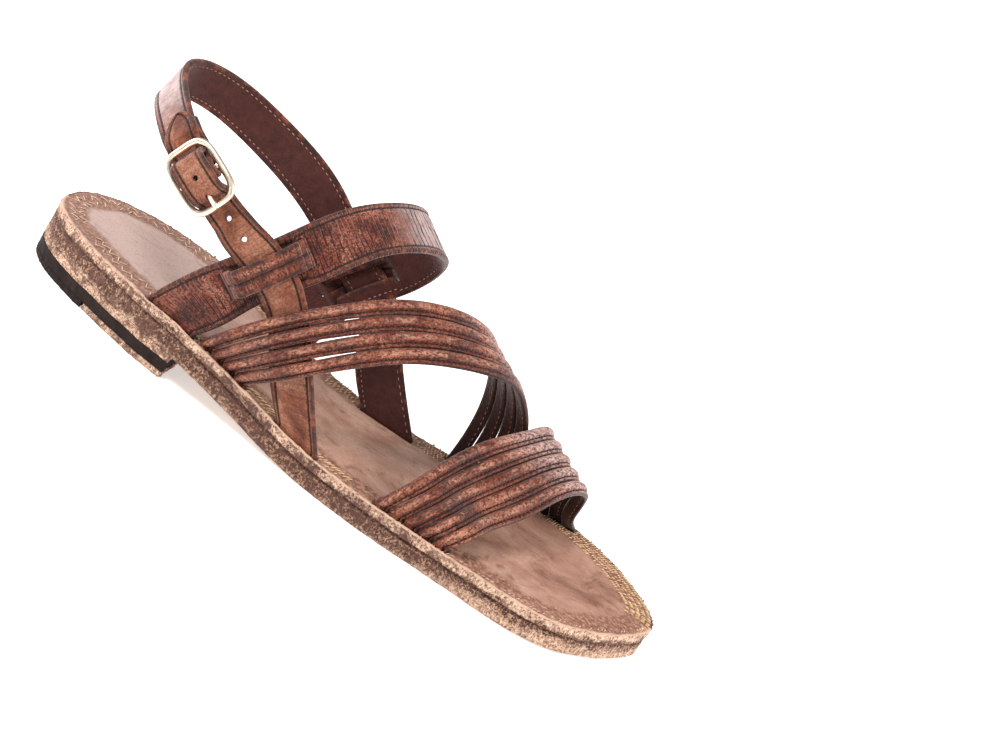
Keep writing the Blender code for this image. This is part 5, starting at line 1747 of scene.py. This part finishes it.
def make_cords(prefix, count, slots, table, rise, seed, loose_at):
    """Cords side by side across one path of rows. Each one's section is carried along the
    path, and its width, height and place wander a little, as hand-cut cords do."""
    width = CORD_PITCH * count
    ends = [slot_row(name) for name in slots]
    rows = np.vstack([ends[0], rows_of(table, rise, width), ends[1]])
    whole = distance_at_row(rows, len(rows) - 1)
    distance = np.linspace(0.0, whole, 200)
    path = curve_through(rows, row_at_distance(rows, distance))
    path = np.vstack([sunk(path[0]), path, sunk(path[-1])[::-1]])
    run = run_of(path)
    onward, across, out = frames(path)
    onward[:4], onward[-4:] = onward[4], onward[-5]
    square = across - onward * np.einsum("ij,ij->i", across, onward)[:, None]
    pitch = np.linalg.norm(square, axis=1) / count
    section, turn = cord_skin()
    seams = [([], [], []) for _ in CORD_SEAMS]
    for number in range(count):
        along_cord = np.column_stack([run, np.full(len(run), 0.05 * number)])
        wander = unevenness(along_cord, 0.045, seed + number)
        swell = unevenness(along_cord, 0.030, seed + 20 + number)
        centre = path[:, :3] + across * ((number + 0.5) / count - 0.5)
        centre = centre + unit(square) * (0.00008 * wander)[:, None]
        centre = centre + out * (0.00006 * swell)[:, None]
        fill = CORD_FULL - CORD_SLACK * bell(run - loose_at, 0.011)
        wide = np.minimum(pitch * fill, 1.1 * CORD_PITCH)
        sideways = unit(square) * wide[:, None]
        outward = out * (CORD_THICK * (1 + 0.02 * swell))[:, None]
        points = (
            centre[:, None, :]
            + sideways[:, None, :] * section[None, :, :1]
            + outward[:, None, :] * section[None, :, 1:]
        )
        dimples = 0.00007 * unevenness(points, 0.006, seed + 40)
        points = points + out[:, None, :] * (dimples * (section[:, 1] > 0))[..., None]
        points_flat, faces = closed_rings(points)
        full = np.ones((len(run), 1))
        seam = bell(section[:, 0] - CORD_GROOVE, 0.045) * (section[:, 1] > -0.3)
        marks = {
            "run": run[:, None] + 0 * turn[None, :] + 0.7 * number,
            "span": turn[None, :] * full,
            "crest": section[None, :, 1] * 2 * full,
            "seam": seam[None, :] * full,
        }
        node = f"{prefix}_cord_{number + 1}"
        put_in("sewn_" + node, points_flat, faces, CORD_FINISH, marks, [node])
        for store, (_, height, stitch_pitch, way, _, _) in zip(seams, CORD_SEAMS):
            line = centre + sideways * CORD_GROOVE + outward * height
            at = np.arange(0.006, whole, stitch_pitch)
            start, end, normal = (
                np.stack([np.interp(where, run, values[:, k]) for k in range(3)], axis=1)
                for where, values in ((at, line), (at + CORD_STITCH, line), (at, out * way))
            )
            store[0].append(start)
            store[1].append(end)
            store[2].append(unit(normal))
    for store, (suffix, _, _, _, thick, thread) in zip(seams, CORD_SEAMS):
        sew(prefix + suffix, thread, [store], thick)


INSTEP_SLOTS = ("instep_outer", "instep_inner")
TOE_SLOTS = ("toe_outer", "toe_inner")
make_cords("instep", INSTEP_CORDS, INSTEP_SLOTS, INSTEP_ROWS, INSTEP_RISE, 60, INSTEP_LOOSE)
make_cords("toe", TOE_CORDS, TOE_SLOTS, TOE_ROWS, TOE_RISE, 160, TOE_LOOSE)


# Buckle


def tube_rings(path, plane, radius, around=18, closed=False):
    """Rings of a round wire along a path that lies in one plane."""
    path = np.asarray(path, float)
    if closed:
        onward = unit(np.roll(path, -1, axis=0) - np.roll(path, 1, axis=0))
    else:
        onward = unit(np.gradient(path, axis=0))
    side = unit(np.cross(plane, onward))
    turn = np.arange(around) * 2 * pi / around
    ring = side[:, None, :] * np.cos(turn)[None, :, None] + plane * np.sin(turn)[None, :, None]
    return path[:, None, :] + ring * np.broadcast_to(radius, len(path))[:, None, None]


def round_end(count, radius):
    """Shares of a wire's radius that round its ends, for evenly spaced rings."""
    share = np.ones(count)
    rise = np.sqrt(np.linspace(0.12, 1.0, 5))
    share[:5], share[-5:] = rise, rise[::-1]
    return share * radius


def make_buckle():
    """The ring with its centre bar, and the prong that turns on the bar."""
    loop = []
    for angle in np.linspace(0.0, 2 * pi, 120, endpoint=False):
        u = (HALF_LENGTH + RING_SPREAD) * abs(cos(angle)) ** RING_SQUARE * np.sign(cos(angle))
        w = (BUCKLE_WIDTH / 2 + RING_SPREAD) * abs(sin(angle)) ** RING_SQUARE * np.sign(sin(angle))
        loop.append(at_buckle(u, w, 0.0))
    loop = even_run(loop + loop[:1], 0.0006)[:-1]
    rings = tube_rings(loop, BUCKLE_N, FRAME_WIRE * RING_WIRE, closed=True)
    count, around = rings.shape[:2]
    faces = ring_faces(count, around)
    last = np.arange(around)
    after = (last + 1) % around
    final = (count - 1) * around
    closing = np.stack([final + last, final + after, after, last], axis=-1)
    bar = [at_buckle(0.0, w, 0.0) for w in np.linspace(-BUCKLE_WIDTH / 2, BUCKLE_WIDTH / 2, 12)]
    bar_points, bar_faces = closed_rings(tube_rings(bar, BUCKLE_N, CENTRE_BAR))
    ring_points = rings.reshape(-1, 3)
    ring_mesh = facing_out(ring_points, np.concatenate([faces, closing]))
    bar_faces = facing_out(bar_points, bar_faces)
    points = np.concatenate([ring_points, bar_points])
    faces = np.concatenate([ring_mesh, bar_faces + len(ring_points)])
    put_in("buckle_ring", points, faces, BRASS_FINISH, None, ["buckle_frame"])
    loop = turn_about(0.0, PRONG_RADIUS, -0.75 * pi, 0.5 * pi, 26)
    line = [*loop, (-HALF_LENGTH, PRONG_REST), (-PRONG_REACH, PRONG_REST)]
    line = even_run([at_buckle(u, 0.0, n) for u, n in line], 0.0004)
    rings = tube_rings(line, BUCKLE_W, round_end(len(line), PRONG_WIRE))
    points, faces = closed_rings(rings)
    put_in("buckle_tongue", points, faces, BRASS_FINISH, None, ["buckle_prong"])


make_buckle()


# Floor, light and camera


FLOOR_REACH = 9.0
FLOOR_LEVEL = -0.0001


def make_floor():
    """A wide pale floor just under the sole, glowing a little."""
    paint = Finish("pale_floor")
    paint.finish("Base Color", (0.9, 0.9, 0.9, 1.0))
    paint.finish("Roughness", 0.8)
    paint.finish("Emission Color", (1.0, 1.0, 1.0, 1.0))
    paint.finish("Emission Strength", 0.48)
    square = ((-1, -1), (1, -1), (1, 1), (-1, 1))
    corners = [(FLOOR_REACH * x, FLOOR_REACH * y, FLOOR_LEVEL) for x, y in square]
    mesh = bpy.data.meshes.new("floor")
    mesh.from_pydata(corners, [], [(0, 1, 2, 3)])
    mesh.materials.append(paint.made)
    floor = bpy.data.objects.new("floor", mesh)
    bpy.context.scene.collection.objects.link(floor)


def frame_at(place, right, up, back):
    """The matrix of a lamp or a camera from its place and its own three directions."""
    matrix = np.eye(4)
    matrix[:3, :3] = np.stack([right, up, back], axis=1)
    matrix[:3, 3] = place
    return Matrix(matrix.tolist())


def softbox(name, place, target, size, power):
    """A round lamp that faces a point."""
    lamp = bpy.data.lights.new(name, "AREA")
    lamp.shape = "DISK"
    lamp.size = size
    lamp.energy = power
    made = bpy.data.objects.new(name, lamp)
    back = unit(np.array(place) - np.array(target))
    side = unit(np.cross([0.0, 0.0, 1.0], back))
    made.matrix_world = frame_at(place, side, np.cross(back, side), back)
    bpy.context.scene.collection.objects.link(made)


def make_light():
    """A bright even tent with one large lamp high in front and one from each end."""
    world = bpy.data.worlds.new("studio")
    bpy.context.scene.world = world
    world.use_nodes = True
    tent = world.node_tree.nodes["Background"]
    tent.inputs["Color"].default_value = (1.0, 1.0, 1.0, 1.0)
    tent.inputs["Strength"].default_value = 0.44
    middle = (0.08, 0.0, 0.03)
    softbox("high_front", (-0.30, -0.65, 1.15), middle, 0.5, 11.0)
    softbox("heel_end", (-1.20, -0.10, 0.62), middle, 0.8, 14.0)
    softbox("toe_end", (1.15, -0.05, 0.70), middle, 0.8, 15.0)


CAMERA_PLACE = (0.20104, -1.09349, 0.45999)
CAMERA_TURN = -4.1234
CAMERA_TIP = 20.0204
CAMERA_ROLL = 33.0026


def make_camera():
    """A long lens in front of the outer side, turned a little to the heel, tipped down and
    rolled, as the photograph holds the shoe. The three angles are in degrees."""
    lens = bpy.data.cameras.new("camera")
    lens.sensor_width = 36.0
    lens.lens = 112.6
    lens.clip_start, lens.clip_end = 0.05, 60.0
    camera = bpy.data.objects.new("camera", lens)
    turn, tip, roll = radians(CAMERA_TURN), radians(CAMERA_TIP), radians(CAMERA_ROLL)
    ahead = np.array([sin(turn) * cos(tip), cos(turn) * cos(tip), -sin(tip)])
    level_right = unit(np.cross(ahead, [0.0, 0.0, 1.0]))
    level_up = np.cross(level_right, ahead)
    right = cos(roll) * level_right + sin(roll) * level_up
    up = cos(roll) * level_up - sin(roll) * level_right
    camera.matrix_world = frame_at(CAMERA_PLACE, right, up, -ahead)
    bpy.context.scene.collection.objects.link(camera)
    bpy.context.scene.camera = camera


make_floor()
make_light()
make_camera()
bpy.context.scene.view_settings.view_transform = "Standard"
bpy.context.view_layer.update()
